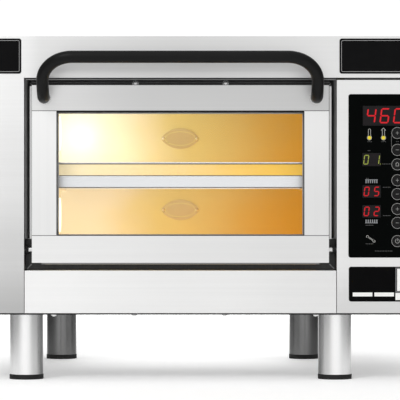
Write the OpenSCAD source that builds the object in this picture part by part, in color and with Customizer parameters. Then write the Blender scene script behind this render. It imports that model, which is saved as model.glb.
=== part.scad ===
// Electric countertop deck oven: one chamber with two hearth stones, a drop-down glass door,
// a control compartment on the right and four tubular legs. All sizes are in millimetres.
// X runs to the right as seen from the front, Y to the rear and Z up. The origin lies on the
// surface that the feet stand on, under the middle of the whole oven.

/* [Casing] */
// Width of the casing
body_w = 695; // [660:5:840]
// Depth of the casing without the handle
body_d = 560; // [550:5:680]
// Height of the casing without the legs
body_h = 410; // [405:5:495]
// Thickness of the casing sheet
sheet_t = 1.5; // [1:0.1:2]
// Depth of the return flange round the front sheets
flange_d = 12; // [8:1:13]
// Height of the header over the door
header_h = 61.5; // [50:0.5:75]
// Height of the panel under the door
lower_panel_h = 63; // [50:0.5:75]
// Width of the control compartment's front
control_w = 145; // [135:1:175]
// Open joint between two neighbouring front sheets
seam = 0.8; // [0.4:0.1:1.5]
// Length of a ventilation slot
slot_len = 60; // [40:1:75]
// Width of a ventilation slot
slot_w = 5; // [3:0.5:6]

/* [Baking chamber] */
// Width inside the chamber
chamber_w = 405; // [335:5:410]
// Depth inside the chamber
chamber_d = 405; // [335:5:410]
// Free height over each hearth stone
crown_h = 95; // [78:1:98]
// Thickness of a hearth stone
stone_t = 20; // [16:1:24]
// Height of the carrier under a hearth stone
carrier_h = 18; // [15:1:22]
// Gap between a stone and the chamber wall
stone_gap = 3; // [1:0.5:6]
// Thickness of the chamber's sheet
liner_t = 1.5; // [1:0.1:2]
// Thickness of the rear insulation
rear_wool_t = 60; // [40:1:65]
// Thickness of the left insulation
side_wool_t = 48; // [30:1:55]
// Diameter of a heating element's tube
element_d = 8; // [6:0.5:9]
// Number of runs in a heating element
element_runs = 8; // [4:2:10]

/* [Door] */
// Gap at each side of the door
door_gap_side = 11.5; // [9:0.5:14]
// Gap over the door
door_gap_top = 11; // [6:0.5:14]
// Gap under the door
door_gap_bottom = 11.5; // [11:0.5:14]
// Thickness of the door
door_t = 36; // [32:1:38]
// Depth of the recess that the door closes into
recess_d = 42; // [41:1:50]
// Height of the door's top rail
rail_top_h = 37.5; // [32:0.5:45]
// Height of the door's bottom rail
rail_bottom_h = 40; // [36:0.5:45]
// Width of each door stile
stile_w = 36.5; // [30:0.5:44]
// Thickness of the door's sheet
door_sheet_t = 1.5; // [1:0.1:2]
// Thickness of each pane
glass_t = 5; // [4:0.5:6]
// Diameter of the hinge pins
pin_d = 8; // [6:0.5:10]
// Height of the hinge pins over the door's lower edge
pin_rise = 19; // [17:0.5:20]
// Depth of the hinge pins behind the door's face
pin_depth = 20; // [19:0.5:21]

/* [Handle] */
// Diameter of the handle's tube
handle_d = 18; // [15:0.5:22]
// Distance between the handle's two sockets
handle_span = 402; // [340:1:410]
// Rise from the sockets to the bar
handle_rise = 56; // [50:0.5:68]
// Lean of the handle away from the door, in degrees
handle_lean = 40; // [30:1:50]
// Radius of the bend at each end of the bar
bar_bend_r = 45; // [36:1:48]
// Radius of the bend at each socket
root_bend_r = 30; // [24:1:34]
// Length of each steel socket
socket_len = 16; // [12:1:22]

/* [Control panel] */
// Width of the black keypad face
keypad_w = 110.5; // [100:0.5:120]
// Height of the black keypad face
keypad_h = 242; // [238:1:260]
// Thickness of the keypad face
keypad_t = 1; // [0.8:0.1:1.5]
// Distance from the top of the control front down to the keypad
keypad_drop = 21; // [16:1:24]
// Height of the rating plate
rating_h = 51.5; // [42:0.5:56]
// Diameter of a key
key_d = 17; // [14:0.5:18]
// Travel of a key
key_travel = 0.8; // [0.4:0.1:1.2]
// Gap round a key and a display
key_gap = 0.3; // [0.3:0.05:0.5]
// Height of a badge plate
badge_h = 52; // [42:1:56]

/* [Legs] */
// Diameter of a leg
leg_d = 50; // [42:1:60]
// Wall of a leg's tube
leg_wall = 2; // [1.5:0.1:3]
// Height of the casing over the table
leg_h = 100; // [84:1:120]
// Height of a levelling foot's pad
foot_h = 7; // [6:0.5:12]
// Diameter of a levelling foot's stem
stem_d = 12; // [10:1:16]
// Distance of each front leg from the middle of the baking cell
front_leg_x = 231; // [195:1:236]
// Distance of each rear leg from the middle of the baking cell
rear_leg_x = 205; // [170:1:236]
// Distance of the front legs behind the front
front_leg_y = 45; // [38:1:60]
// Distance of the rear legs from the rear
rear_leg_y = 60; // [50:1:80]

/* [Services] */
// Size of the cooling fan's square frame
fan_size = 92; // [80:1:100]
// Depth of the cooling fan
fan_depth = 25; // [20:1:32]
// Outer diameter of the steam vent
vent_d = 30; // [25:1:34]
// Length of the steam vent behind the casing
vent_reach = 25; // [15:1:35]
// Bore of the supply cable's gland
gland_bore = 14; // [10:0.5:16]

/* [Hidden] */
$fn = 48;
eps = 0.01;
fit = 0.5;          // ordinary clearance between two parts that don't touch
pin_fit = 0.05;     // radial running clearance of a shaft
moving_gap = 0.3;   // clearance between two faces that move apart
bend_swell = 0.06;  // a bent tube is this much thicker in its bends
bite = 0.5;         // how far a straight tube reaches into its bend

// The casing, seen from the front.
x_left = -body_w / 2;
x_right = body_w / 2;
z_bottom = leg_h;
z_top = leg_h + body_h;
control_x = x_right - control_w;             // left edge of the control compartment's front
recess_z0 = z_bottom + lower_panel_h;
recess_z1 = z_top - header_h;

// The door and its recess: the door is as wide as the chamber with an overlap at each side.
door_overlap = 17.5;
door_w = chamber_w + 2 * door_overlap;
recess_w = door_w + 2 * door_gap_side;
recess_x1 = control_x;
recess_x0 = recess_x1 - recess_w;
pillar_w = recess_x0 - x_left;
cell_x = (recess_x0 + recess_x1) / 2;        // middle of the baking cell
door_z0 = recess_z0 + door_gap_bottom;
door_z1 = recess_z1 - door_gap_top;
window_w = door_w - 2 * stile_w;
window_z0 = door_z0 + rail_bottom_h + seam;
window_z1 = door_z1 - rail_top_h - seam;
window_h = window_z1 - window_z0;
pin_z = door_z0 + pin_rise;
rail_flange = pin_depth + 2;
pan_z0 = pin_z - 5.5;
pan_z1 = door_z1 - 2;
pan_w = door_w - 4;
pan_back = door_t;
pane_y = door_sheet_t + 0.2;                 // front of the outer pane
door_channel_gap = 2;

// The chamber: stone tops, carriers and ceiling.
lower_stone_z = pin_z - 2.5;                 // top of the lower stone
lower_carrier_z = lower_stone_z - stone_t - carrier_h;
upper_carrier_z = lower_stone_z + crown_h;
upper_stone_z = upper_carrier_z + carrier_h + stone_t;
mouth_z1 = upper_stone_z + crown_h;          // top of the chamber's mouth
element_space = element_d + 5;
ceiling_z = mouth_z1 + element_space;
floor_z = lower_carrier_z;
chamber_y0 = recess_d + liner_t;
chamber_y1 = chamber_y0 + chamber_d;
stone_w = chamber_w - 2 * stone_gap;
stone_d = chamber_d - stone_gap;
ledge_w = 8;
ledge_t = 3;

// The partition between the baking cell and the control compartment.
partition_t = 1.2;
partition_x = control_x + sheet_t + 12;
inner_x0 = x_left + 2 * sheet_t;
inner_x1 = x_right - 2 * sheet_t;
rear_y0 = body_d - sheet_t;                  // inner face of the rear panel

// Heating elements: one over the mouth and one under each stone.
element_bend = (stone_d - 60) / (element_runs - 1) / 2;
element_y0 = chamber_y0 + 30;
element_half = chamber_w / 2 - element_bend - 22;
element_z = [mouth_z1 + element_space / 2 + 0.5, upper_carrier_z + carrier_h / 2,
    lower_carrier_z + carrier_h / 2];
element_end_x = partition_x + partition_t + 12;

// The handle: bends, straights and reach.
root_turn = 90 - handle_lean;
grip_span = handle_span * door_w / 440;
socket_stub = socket_len + 2;
handle_leg = (handle_rise - root_bend_r * (1 - cos(root_turn)) - bar_bend_r * cos(handle_lean))
    / cos(handle_lean);
root_end_y = -socket_stub - root_bend_r * sin(root_turn);
root_end_z = root_bend_r * (1 - cos(root_turn));
bar_y = root_end_y - (handle_leg + bar_bend_r) * sin(handle_lean);
socket_z = door_z1 - rail_top_h / 2;
handle_reach = -bar_y + handle_d / 2;

// The whole oven is centred in depth on the origin, from the handle to the end of the vent.
front_y = (handle_reach - body_d - vent_reach) / 2;

// Control panel: keypad, keys and displays, measured from the keypad's middle and top.
control_z1 = recess_z1 - seam - 2.5;
keypad_x = control_x + control_w / 2;
keypad_z1 = control_z1 - keypad_drop;
rating_z1 = keypad_z1 - keypad_h - 13.5;
key_x = keypad_x + 17;
key_drop = [57.5, 82.5, 104, 127.5, 148, 170, 190.5, 217.5];
key_proud = 0.4;
key_flange_t = 0.9;
key_stem = 3;
board_y = key_flange_t + key_gap + key_stem + key_travel + 3;
display_x = keypad_x - 21;
// Each display: middle in X, distance of its middle below the keypad's top, width and height.
displays = [[keypad_x - 1.5, 32, 65, 29], [display_x, 97, 27, 19], [display_x, 144, 27, 18],
    [display_x, 173.5, 27, 18]];
corner_r = 3.5;

// Legs: middle of each, front left, front right, rear left and rear right.
// The legs and the handle keep their places under and on a wider or narrower door.
door_share = door_w / 440;
front_leg = front_leg_x * door_share;
rear_leg = rear_leg_x * door_share;
legs = [[cell_x - front_leg, front_leg_y], [cell_x + front_leg, front_leg_y],
    [cell_x - rear_leg, body_d - rear_leg_y], [cell_x + rear_leg, body_d - rear_leg_y]];
stud_d = 10;
beam_h = 25;
beam_w = 40;
beam_t = 2;
insert_h = 14;
stem_len = 45;

// Lamps in the chamber's left wall, one for each stone.
lamp_y = chamber_y1 - 95;
lamp_z = [upper_stone_z + crown_h * 0.55, lower_stone_z + crown_h * 0.55];
lamp_hole_d = 44;
lamp_can_d = 50;
lamp_can_len = 40;
lamp_glass_d = 56;
lamp_glass_t = 4;

// Oval cover plates on the chamber's rear wall.
oval_w = 61;
oval_h = 34;
oval_t = 2;
oval_x = cell_x - 4;
oval_z = [upper_stone_z + 46, lower_stone_z + 60];

// Steam vent: up from the ceiling, then to the rear.
vent_wall = 1.5;
vent_collar_t = 2;
vent_x = cell_x + 120;
vent_y = chamber_y1 - 35;
vent_z = min(ceiling_z + liner_t + 36, z_top - sheet_t - vent_d / 2 - 4);

// Thermocouple through the rear wall, over the mouth.
probe_d = 6;
probe_x = cell_x + 60;
probe_z = ceiling_z - 5;

// Fan, gland and other services in the control compartment.
fan_x = (partition_x + partition_t + inner_x1) / 2;
fan_z = z_top - 110;
fan_bore_d = fan_size - 8;
gland_x = fan_x + 20;
gland_z = z_bottom + 45;
rail_y0 = 180;
rail_len = 222;
rail_z = z_bottom + 190;

// Casing screws: places in X under the base, and in the rear panel as [x, z].
base_screws = [for (x = [-188, -67.5, 67.5, 207]) cell_x + x * door_share];
frame_screws = [for (s = [-1, 1]) cell_x + s * 67.5 * door_share];
rear_screws = [for (x = [inner_x0 + 25, 0, inner_x1 - 25]) for (z = [z_bottom + 15, z_top - 30]) [x, z]];
screw_head_d = 9;
screw_d = 4;

// ---------------------------------------------------------------- shared shapes

// Moves a shape from the oven's front plane to its place about the origin.
module placed() translate([0, front_y, 0]) children();

// A box between two corners.
module block(a, b) translate(a) cube([b[0] - a[0], b[1] - a[1], b[2] - a[2]]);

// A plate facing the front with round corners, centred at [x, z], from y0 to y1.
module plate(x, z, w, h, y0, y1, r) {
    translate([x, y1, z]) rotate([90, 0, 0]) linear_extrude(y1 - y0) rounded(w, h, r);
}

// A rectangle with round corners, made from true arcs.
module rounded(w, h, r) {
    square([w - 2 * r, h], center = true);
    square([w, h - 2 * r], center = true);
    for (x = [-1, 1]) for (z = [-1, 1])
        translate([x * (w / 2 - r), z * (h / 2 - r)]) circle(r);
}

// A rod along X, Y or Z from a point.
module rod_x(p, d, len) translate(p) rotate([0, 90, 0]) cylinder(d = d, h = len);
module rod_y(p, d, len) translate(p) rotate([-90, 0, 0]) cylinder(d = d, h = len);
module rod_z(p, d, len) translate(p) cylinder(d = d, h = len);

// A round-ended slot cutter along Y or X, standing upright, centred at p.
module slot_y(p, len, w, through) {
    translate(p) rotate([-90, 0, 0]) linear_extrude(through) {
        square([w, len - w], center = true);
        for (s = [-1, 1]) translate([0, s * (len - w) / 2]) circle(w / 2);
    }
}
module slot_x(p, len, w, through) translate(p) rotate([0, 0, -90]) slot_y([0, 0, 0], len, w, through);

// A slot cutter through a level sheet, running along Y.
module slot_z(p, len, w, through) {
    translate(p) linear_extrude(through) {
        square([w, len - w], center = true);
        for (s = [-1, 1]) translate([0, s * (len - w) / 2]) circle(w / 2);
    }
}

// ---------------------------------------------------------------- casing

module front_fascia() color("gainsboro") placed() {
    edge = recess_x0 - seam / 2;
    difference() {
        union() {
            block([x_left, 0, recess_z1], [x_right, sheet_t, z_top]);
            block([x_left, 0, z_bottom], [recess_x0, sheet_t, recess_z1 + eps]);
        }
        for (x = badge_xs()) rod_y([x, -1, badge_z()], screw_d, sheet_t + 2);
    }
    block([recess_x0, sheet_t - eps, recess_z1], [control_x, flange_d, recess_z1 + sheet_t]);
    block([recess_x0 - sheet_t, sheet_t - eps, z_bottom], [recess_x0 + eps, flange_d, recess_z1 + sheet_t]);
    block([x_left, sheet_t - eps, z_bottom], [x_left + sheet_t, flange_d, z_top]);
    block([x_left, sheet_t - eps, z_top - sheet_t], [x_right, flange_d, z_top]);
    block([x_right - sheet_t, sheet_t - eps, recess_z1], [x_right, flange_d, z_top]);
    block([x_left, sheet_t - eps, z_bottom], [recess_x0, flange_d, z_bottom + sheet_t]);
}

module control_front_panel() color("gainsboro") placed() {
    difference() {
        block([control_x, 0, z_bottom], [x_right, sheet_t, control_z1]);
        plate(keypad_x, keypad_z1 - keypad_h / 2, keypad_w - 12, keypad_h - 12, -1, sheet_t + 1, corner_r);
        for (s = [-1, 1]) rod_y([keypad_x + s * 40, -1, rating_z1 - rating_h / 2], screw_d, sheet_t + 2);
    }
    block([control_x, sheet_t - eps, z_bottom + sheet_t], [control_x + sheet_t, flange_d, control_z1]);
    block([x_right - sheet_t, sheet_t - eps, z_bottom], [x_right, flange_d, control_z1]);
    block([control_x, sheet_t - eps, z_bottom], [x_right, flange_d, z_bottom + sheet_t]);
    block([control_x, sheet_t - eps, control_z1 - sheet_t], [x_right, flange_d, control_z1]);
}

module lower_front_panel() color("gainsboro") placed() {
    x0 = recess_x0 + seam;
    x1 = recess_x1 - seam;
    block([x0, 0, z_bottom], [x1, sheet_t, recess_z0]);
    block([x0, sheet_t - eps, recess_z0 - sheet_t], [x1, recess_d - fit, recess_z0]);
    block([x0, sheet_t - eps, z_bottom], [x1, flange_d, z_bottom + sheet_t]);
}

module top_cover() color("silver") placed() {
    y0 = flange_d + fit;
    difference() {
        block([x_left, y0, z_top - sheet_t], [x_right, body_d, z_top]);
        for (i = [0:7]) slot_z([fan_x - 42 + 12 * i, body_d - 90, z_top - 5], slot_len, slot_w, 10);
    }
    lip_z = z_top - 14;
    block([x_left, y0, lip_z], [x_left + sheet_t, body_d, z_top - sheet_t + eps]);
    block([x_right - sheet_t, y0, lip_z], [x_right, body_d, z_top - sheet_t + eps]);
    block([x_left, body_d - sheet_t, lip_z], [x_right, body_d, z_top - sheet_t + eps]);
}

module left_side_panel() color("silver") placed() {
    x0 = x_left + sheet_t;
    difference() {
        block([x0, flange_d + fit, z_bottom], [x0 + sheet_t, rear_y0, z_top - sheet_t]);
        for (i = [0:4]) slot_x([x0 - 1, body_d - 140 + 14 * i, z_bottom + 60], slot_len, slot_w, 5);
    }
}

module right_side_panel() color("silver") placed() {
    x0 = x_right - 2 * sheet_t;
    difference() {
        block([x0, flange_d + fit, z_bottom], [x0 + sheet_t, rear_y0, z_top - sheet_t]);
        for (i = [0:12]) for (z = [z_bottom + 70, z_top - 95])
            slot_x([x0 - 1, body_d - 300 + 14 * i, z], slot_len, slot_w, 5);
    }
}

module rear_panel() color("silver") placed() {
    difference() {
        block([x_left + sheet_t, rear_y0, z_bottom], [x_right - sheet_t, body_d, z_top - 14 - fit]);
        for (i = [-3:3]) {
            reach = sqrt(pow(fan_bore_d / 2 - 4, 2) - pow(i * 10, 2));
            slot_y([fan_x + i * 10, rear_y0 - 1, fan_z], 2 * reach, slot_w, 5);
        }
        for (i = [0:9]) for (s = [0, 1])
            slot_y([cell_x - 150 + 14 * i + 160 * s, rear_y0 - 1, z_bottom + 70], slot_len, slot_w, 5);
        rod_y([vent_x, rear_y0 - 1, vent_z], vent_d + 2, 5);
        rod_y([gland_x, rear_y0 - 1, gland_z], gland_bore + 8, 5);
        for (p = rear_screws) rod_y([p[0], rear_y0 - 1, p[1]], screw_d, 5);
    }
}

module base_tray() color("silver") placed() {
    y0 = flange_d + fit;
    x0 = x_left + 2 * sheet_t;
    x1 = x_right - 2 * sheet_t;
    difference() {
        block([x0, y0, z_bottom], [x1, rear_y0, z_bottom + sheet_t]);
        for (p = legs) rod_z([p[0], p[1], z_bottom - 1], stud_d + 1, sheet_t + 2);
        for (x = base_screws) rod_z([x, flange_d + 8, z_bottom - 1], screw_d, sheet_t + 2);
        for (i = [0:7]) for (y = [body_d * 0.38, body_d * 0.62])
            slot_z([fan_x - 42 + 12 * i, y, z_bottom - 1], slot_len, slot_w, sheet_t + 2);
    }
    block([x0, y0, z_bottom + sheet_t - eps], [x0 + sheet_t, rear_y0, z_bottom + 16]);
    block([x1 - sheet_t, y0, z_bottom + sheet_t - eps], [x1, rear_y0, z_bottom + 16]);
}

// Badge plates: a short one on the left pillar and a long one over the control compartment.
badge_t = 1.2;
badge_w = [pillar_w - 8, control_w - 8];
function badge_xs() = [x_left + pillar_w / 2, control_x + control_w / 2];
function badge_z() = z_top - 3.5 - badge_h / 2;
module badge_plates() color("#151515") placed() {
    for (i = [0, 1]) {
        plate(badge_xs()[i], badge_z(), badge_w[i], badge_h, -badge_t, 0, corner_r);
        rod_y([badge_xs()[i], -eps, badge_z()], screw_d - 0.4, sheet_t + 1);
    }
}

// Pan-head screws: under the base, at the top of the front frame and in the rear panel.
module pan_screw(len) {
    cylinder(d1 = screw_head_d * 0.6, d2 = screw_head_d, h = 2.4);
    translate([0, 0, 2.4 - eps]) cylinder(d = screw_d - 0.4, h = len);
}
module casing_screws() color("dimgray") placed() {
    for (x = base_screws) translate([x, flange_d + 8, z_bottom - 2.4]) pan_screw(8);
    for (x = frame_screws) translate([x, recess_d - 2.4, door_z1 + door_gap_top * 0.45])
        rotate([-90, 0, 0]) pan_screw(liner_t + 0.3);
    for (p = rear_screws) translate([p[0], body_d + 2.4, p[1]]) rotate([90, 0, 0]) pan_screw(8);
}

// Chassis: a box-section beam over each pair of legs, joined by two rails, and four corner posts.
module chassis_frame() color("darkgray") placed() {
    z0 = z_bottom + sheet_t;
    difference() {
        for (y = [front_leg_y, body_d - rear_leg_y]) difference() {
            block([inner_x0 + 8, y - beam_w / 2, z0], [inner_x1 - 8, y + beam_w / 2, z0 + beam_h]);
            block([inner_x0 + 7, y - beam_w / 2 + beam_t, z0 + beam_t],
                [inner_x1 - 7, y + beam_w / 2 - beam_t, z0 + beam_h - beam_t]);
        }
        for (p = legs) rod_z([p[0], p[1], z0 - 1], stud_d + 1, beam_h + 2);
        for (x = base_screws) rod_z([x, flange_d + 8, z0 - 1], screw_d + 8, 10);
    }
    for (s = [-1, 1]) block([cell_x + s * 150 - 10, front_leg_y + beam_w / 2 - eps, z0],
        [cell_x + s * 150 + 10, body_d - rear_leg_y - beam_w / 2 + eps, z0 + beam_t]);
    for (x = [inner_x0 + 12, inner_x1 - 12]) for (y = [front_leg_y - beam_w / 2, body_d - rear_leg_y + 8]) {
        side = x < 0 ? 0 : -20;
        block([x + side, y, z0 + beam_h - eps], [x + side + 20, y + beam_t, z_top - sheet_t - fit]);
        edge = x < 0 ? x : x - beam_t;
        block([edge, y, z0 + beam_h - eps], [edge + beam_t, y + 10, z_top - sheet_t - fit]);
    }
}

// ---------------------------------------------------------------- baking cell

module front_frame() color("#4a4a4c") placed() {
    y0 = flange_d + fit;
    difference() {
        union() {
            block([recess_x0 - sheet_t, recess_d, recess_z0 - 10], [recess_x1 + sheet_t, recess_d + liner_t,
                recess_z1 + sheet_t]);
            for (x = [recess_x0 - sheet_t, recess_x1])
                block([x, y0, recess_z0], [x + sheet_t, recess_d + eps, recess_z1 + sheet_t]);
            block([recess_x0, y0, recess_z1], [recess_x1, recess_d + eps, recess_z1 + sheet_t]);
        }
        block([cell_x - chamber_w / 2, recess_d - 1, lower_stone_z - stone_t],
            [cell_x + chamber_w / 2, recess_d + liner_t + 1, mouth_z1]);
        rod_x([recess_x0 - 10, pin_depth, pin_z], pin_d + 2, recess_w + 20);
        for (x = frame_screws)
            rod_y([x, recess_d - 1, door_z1 + door_gap_top * 0.45], screw_d, 5);
    }
}

// Bright channels at both sides of the mouth, beside the closed door.
module side_channels() color("silver") placed() {
    for (s = [-1, 1]) {
        x = cell_x + s * (door_w / 2 + door_channel_gap + 3);
        block([x - 3, recess_d - 12, pin_z + 16], [x + 3, recess_d, door_z1]);
    }
}

module chamber_liner() color("#c8b890") placed() {
    x0 = cell_x - chamber_w / 2;
    x1 = cell_x + chamber_w / 2;
    difference() {
        block([x0 - liner_t, chamber_y0, floor_z - liner_t], [x1 + liner_t, chamber_y1 + liner_t,
            ceiling_z + liner_t]);
        block([x0, chamber_y0 - 1, floor_z], [x1, chamber_y1, ceiling_z]);
        element_passages();
        for (z = lamp_z) rod_x([x0 - 5, lamp_y, z], lamp_hole_d, 10);
        rod_z([vent_x, vent_y, ceiling_z - 1], vent_d, 10);
        rod_y([probe_x, chamber_y1 - 1, probe_z], probe_d + 0.6, 10);
        for (z = oval_z) for (s = [-1, 1]) rod_y([oval_x + s * oval_w * 0.4, chamber_y1 - 1, z], 3, 10);
    }
    for (x = [x0 - eps, x1 - ledge_w + eps])
        block([x, chamber_y0 + 4, upper_carrier_z - ledge_t], [x + ledge_w, chamber_y1 + eps, upper_carrier_z]);
}

module hearth_stone(top) {
    block([cell_x - stone_w / 2, recess_d + fit, top - stone_t],
        [cell_x + stone_w / 2, recess_d + fit + stone_d, top]);
}
module hearth_stone_upper() color("#d9b877") placed() hearth_stone(upper_stone_z);
module hearth_stone_lower() color("#d9b877") placed() hearth_stone(lower_stone_z);

// A carrier is an open frame of folded sheet with a flange under the stone's rim.
module stone_carrier(z0, front) {
    w = chamber_w - 1;
    t = 2;
    rim = 14;
    difference() {
        block([cell_x - w / 2, front, z0], [cell_x + w / 2, chamber_y1 - fit, z0 + carrier_h]);
        block([cell_x - w / 2 + t, front + t, z0 - 1],
            [cell_x + w / 2 - t, chamber_y1 - fit - t, z0 + carrier_h - t]);
        block([cell_x - w / 2 + rim, front + rim, z0 - 1],
            [cell_x + w / 2 - rim, chamber_y1 - fit - rim, z0 + carrier_h + 1]);
        element_passages();
    }
}
module stone_carriers() color("gainsboro") placed() {
    stone_carrier(upper_carrier_z, recess_d + fit);
    stone_carrier(lower_carrier_z, recess_d + liner_t + fit);
}

// Serpentine tube: runs along X joined by half turns, with both ends led out to the right.
module heating_element(z) {
    for (i = [0:element_runs - 1]) {
        y = element_y0 + 2 * element_bend * i;
        last = i == 0 || i == element_runs - 1;
        end_x = last ? element_end_x : cell_x + element_half;
        rod_x([cell_x - element_half, y, z], element_d, end_x - cell_x + element_half);
    }
    for (i = [0:element_runs - 2]) {
        y = element_y0 + 2 * element_bend * i + element_bend;
        left = i % 2 == 0;
        translate([left ? cell_x - element_half : cell_x + element_half, y, z])
            rotate([0, 0, left ? 90 : -90]) rotate_extrude(angle = 180) translate([element_bend, 0])
                circle(d = element_d + bend_swell);
    }
}
module heating_elements() color("#55504a") placed() for (z = element_z) heating_element(z);

// Clearance holes to the right for the ends of the three elements.
module element_passages() {
    for (z = element_z) for (i = [0, element_runs - 1])
        rod_x([cell_x + element_half, element_y0 + 2 * element_bend * i, z], element_d + 1, control_w + 120);
}

module insulation_blocks() color("#cfc58f") placed() {
    x0 = cell_x - chamber_w / 2 - liner_t - fit;
    x1 = cell_x + chamber_w / 2 + liner_t + fit;
    y0 = chamber_y0 + fit;
    y1 = chamber_y1 + liner_t + fit;
    z0 = floor_z - liner_t - fit;
    z1 = ceiling_z + liner_t + fit;
    roof = z_top - sheet_t - 6;
    difference() {
        block([x0, y0, z1], [x1, y1 - fit, roof]);
        vent_run(vent_d + 1, ceiling_z - 1);
    }
    block([x0, front_leg_y + beam_w / 2 + fit, z_bottom + sheet_t + beam_t + fit], [x1, y1 - fit, z0]);
    difference() {
        block([x0 - side_wool_t, y0, z0], [x0 - fit, y1 - fit, roof]);
        for (z = lamp_z) rod_x([x0 - lamp_can_len - 4, lamp_y, z], lamp_can_d + 1, lamp_can_len + 20);
    }
    difference() {
        block([x1 + fit, y0, z0], [partition_x - fit, y1 - fit, roof]);
        element_passages();
    }
    difference() {
        block([x0, y1, z0], [x1, y1 + rear_wool_t, roof]);
        rod_y([probe_x, y1 - 1, probe_z], probe_d + 1, rear_wool_t + 5);
        rod_y([vent_x, y1 - 5, vent_z], vent_d + 1, rear_wool_t + 10);
        for (z = oval_z) for (s = [-1, 1]) rod_y([oval_x + s * oval_w * 0.4, y1 - 1, z], 4, 10);
    }
}

// Lens-shaped plates with blunt ends, each held by two small screws.
module oval_cover_plates() color("#bfa368") placed() {
    r = (pow(oval_w / 2 + 2, 2) + pow(oval_h / 2, 2)) / oval_h;
    for (z = oval_z) {
        intersection() {
            rod_y([oval_x, chamber_y1 - oval_t, z + oval_h / 2 - r], 2 * r, oval_t);
            rod_y([oval_x, chamber_y1 - oval_t, z - oval_h / 2 + r], 2 * r, oval_t);
            block([oval_x - oval_w / 2, chamber_y1 - oval_t, z - oval_h],
                [oval_x + oval_w / 2, chamber_y1, z + oval_h]);
        }
        for (s = [-1, 1]) {
            rod_y([oval_x + s * oval_w * 0.4, chamber_y1 - oval_t - 1.5, z], 6, 1.5 + eps);
            rod_y([oval_x + s * oval_w * 0.4, chamber_y1 - eps, z], 2.8, 6);
        }
    }
}

// Lamps: a can in the insulation, a capsule bulb in it and a glass disc over the hole.
module lamp_holders() color("#8c8c8e") placed() {
    x0 = cell_x - chamber_w / 2 - liner_t;
    for (z = lamp_z) {
        difference() {
            rod_x([x0 - lamp_can_len, lamp_y, z], lamp_can_d, lamp_can_len);
            rod_x([x0 - lamp_can_len + 2, lamp_y, z], lamp_can_d - 3, lamp_can_len);
        }
        difference() {
            rod_x([x0 - lamp_can_len + 2 - eps, lamp_y, z], 18, 12);
            rod_x([x0 - lamp_can_len + 8, lamp_y, z], 10, 12);
        }
    }
}
module lamp_bulbs() color("#fff1c9") placed() {
    x0 = cell_x - chamber_w / 2 - liner_t - lamp_can_len + 8;
    for (z = lamp_z) {
        rod_x([x0, lamp_y, z], 9.8, 18);
        translate([x0 + 18 - eps, lamp_y, z]) sphere(d = 9.7);
    }
}
module lamp_glasses() color("#f4ead0", 0.5) placed() {
    for (z = lamp_z) rod_x([cell_x - chamber_w / 2, lamp_y, z], lamp_glass_d, lamp_glass_t);
}

module thermocouple() color("#77777a") placed() {
    rod_y([probe_x, chamber_y1 - 18, probe_z], probe_d, 18 + liner_t + rear_wool_t + 12);
    rod_y([probe_x, chamber_y1 + liner_t + rear_wool_t + 3, probe_z], 14, 12);
}

// The way of the steam vent: up through the ceiling, then level to the rear.
module vent_run(d, from) {
    rod_z([vent_x, vent_y, from], d, vent_z - from);
    translate([vent_x, vent_y, vent_z]) sphere(d = d + bend_swell);
    rod_y([vent_x, vent_y, vent_z], d, body_d + vent_reach + (from < ceiling_z ? 1 : 0) - vent_y);
}
module steam_vent() color("silver") placed() {
    difference() {
        union() {
            vent_run(vent_d, ceiling_z);
            rod_y([vent_x, body_d, vent_z], vent_d + 12, vent_collar_t);
        }
        vent_run(vent_d - 2 * vent_wall, ceiling_z - 1);
    }
}

// ---------------------------------------------------------------- control compartment

module partition_wall() color("silver") placed() {
    difference() {
        block([partition_x, recess_d + liner_t + fit, z_bottom + sheet_t + beam_h + fit],
            [partition_x + partition_t, rear_y0 - fit, z_top - sheet_t - fit]);
        element_passages();
    }
}

module keypad_face() color("#0c0c0e") placed() {
    difference() {
        plate(keypad_x, keypad_z1 - keypad_h / 2, keypad_w, keypad_h, -keypad_t, 0, corner_r);
        for (drop = key_drop) rod_y([key_x, -keypad_t - 1, keypad_z1 - drop], key_d + 2 * key_gap, 4);
        for (d = displays) plate(d[0], keypad_z1 - d[1], d[2] + 2 * key_gap, d[3] + 2 * key_gap,
            -keypad_t - 1, 1, 1);
    }
}

module key(i) color("#1a1a1c") placed() {
    z = keypad_z1 - key_drop[i - 1];
    rod_y([key_x, -keypad_t - key_proud, z], key_d, keypad_t + key_proud + key_gap + eps);
    rod_y([key_x, key_gap, z], key_d + 1.6, key_flange_t);
    rod_y([key_x, key_gap + key_flange_t - eps, z], 4, key_stem);
}

// Printed circuit on spacers behind the panel's sheet, with one small switch behind each key.
module controller_board() color("#1f5b36") placed() {
    w = keypad_w - 2;
    h = keypad_h - 2;
    z = keypad_z1 - keypad_h / 2;
    block([keypad_x - w / 2, board_y, z - h / 2], [keypad_x + w / 2, board_y + 1.6, z + h / 2]);
    for (drop = key_drop) {
        top = key_gap + key_flange_t + key_stem + key_travel + 0.1;
        block([key_x - 3, top, keypad_z1 - drop - 3], [key_x + 3, board_y + eps, keypad_z1 - drop + 3]);
    }
    for (sx = [-1, 1]) for (sz = [-1, 1]) {
        rod_y([keypad_x + sx * (w / 2 - 2.5), sheet_t, z + sz * (h / 2 - 2.5)], 4, board_y - sheet_t + eps);
    }
    for (p = [[-20, 60, 22, 14], [-18, -60, 30, 18], [-20, 10, 14, 14]])
        block([keypad_x + p[0] - p[2] / 2, board_y + 1.6 - eps, z + p[1] - p[3] / 2],
            [keypad_x + p[0] + p[2] / 2, board_y + 6, z + p[1] + p[3] / 2]);
}

module segment_displays() color("#2a1414") placed() {
    for (d = displays) block([d[0] - d[2] / 2, -keypad_t + 0.2, keypad_z1 - d[1] - d[3] / 2],
        [d[0] + d[2] / 2, board_y, keypad_z1 - d[1] + d[3] / 2]);
}

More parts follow.
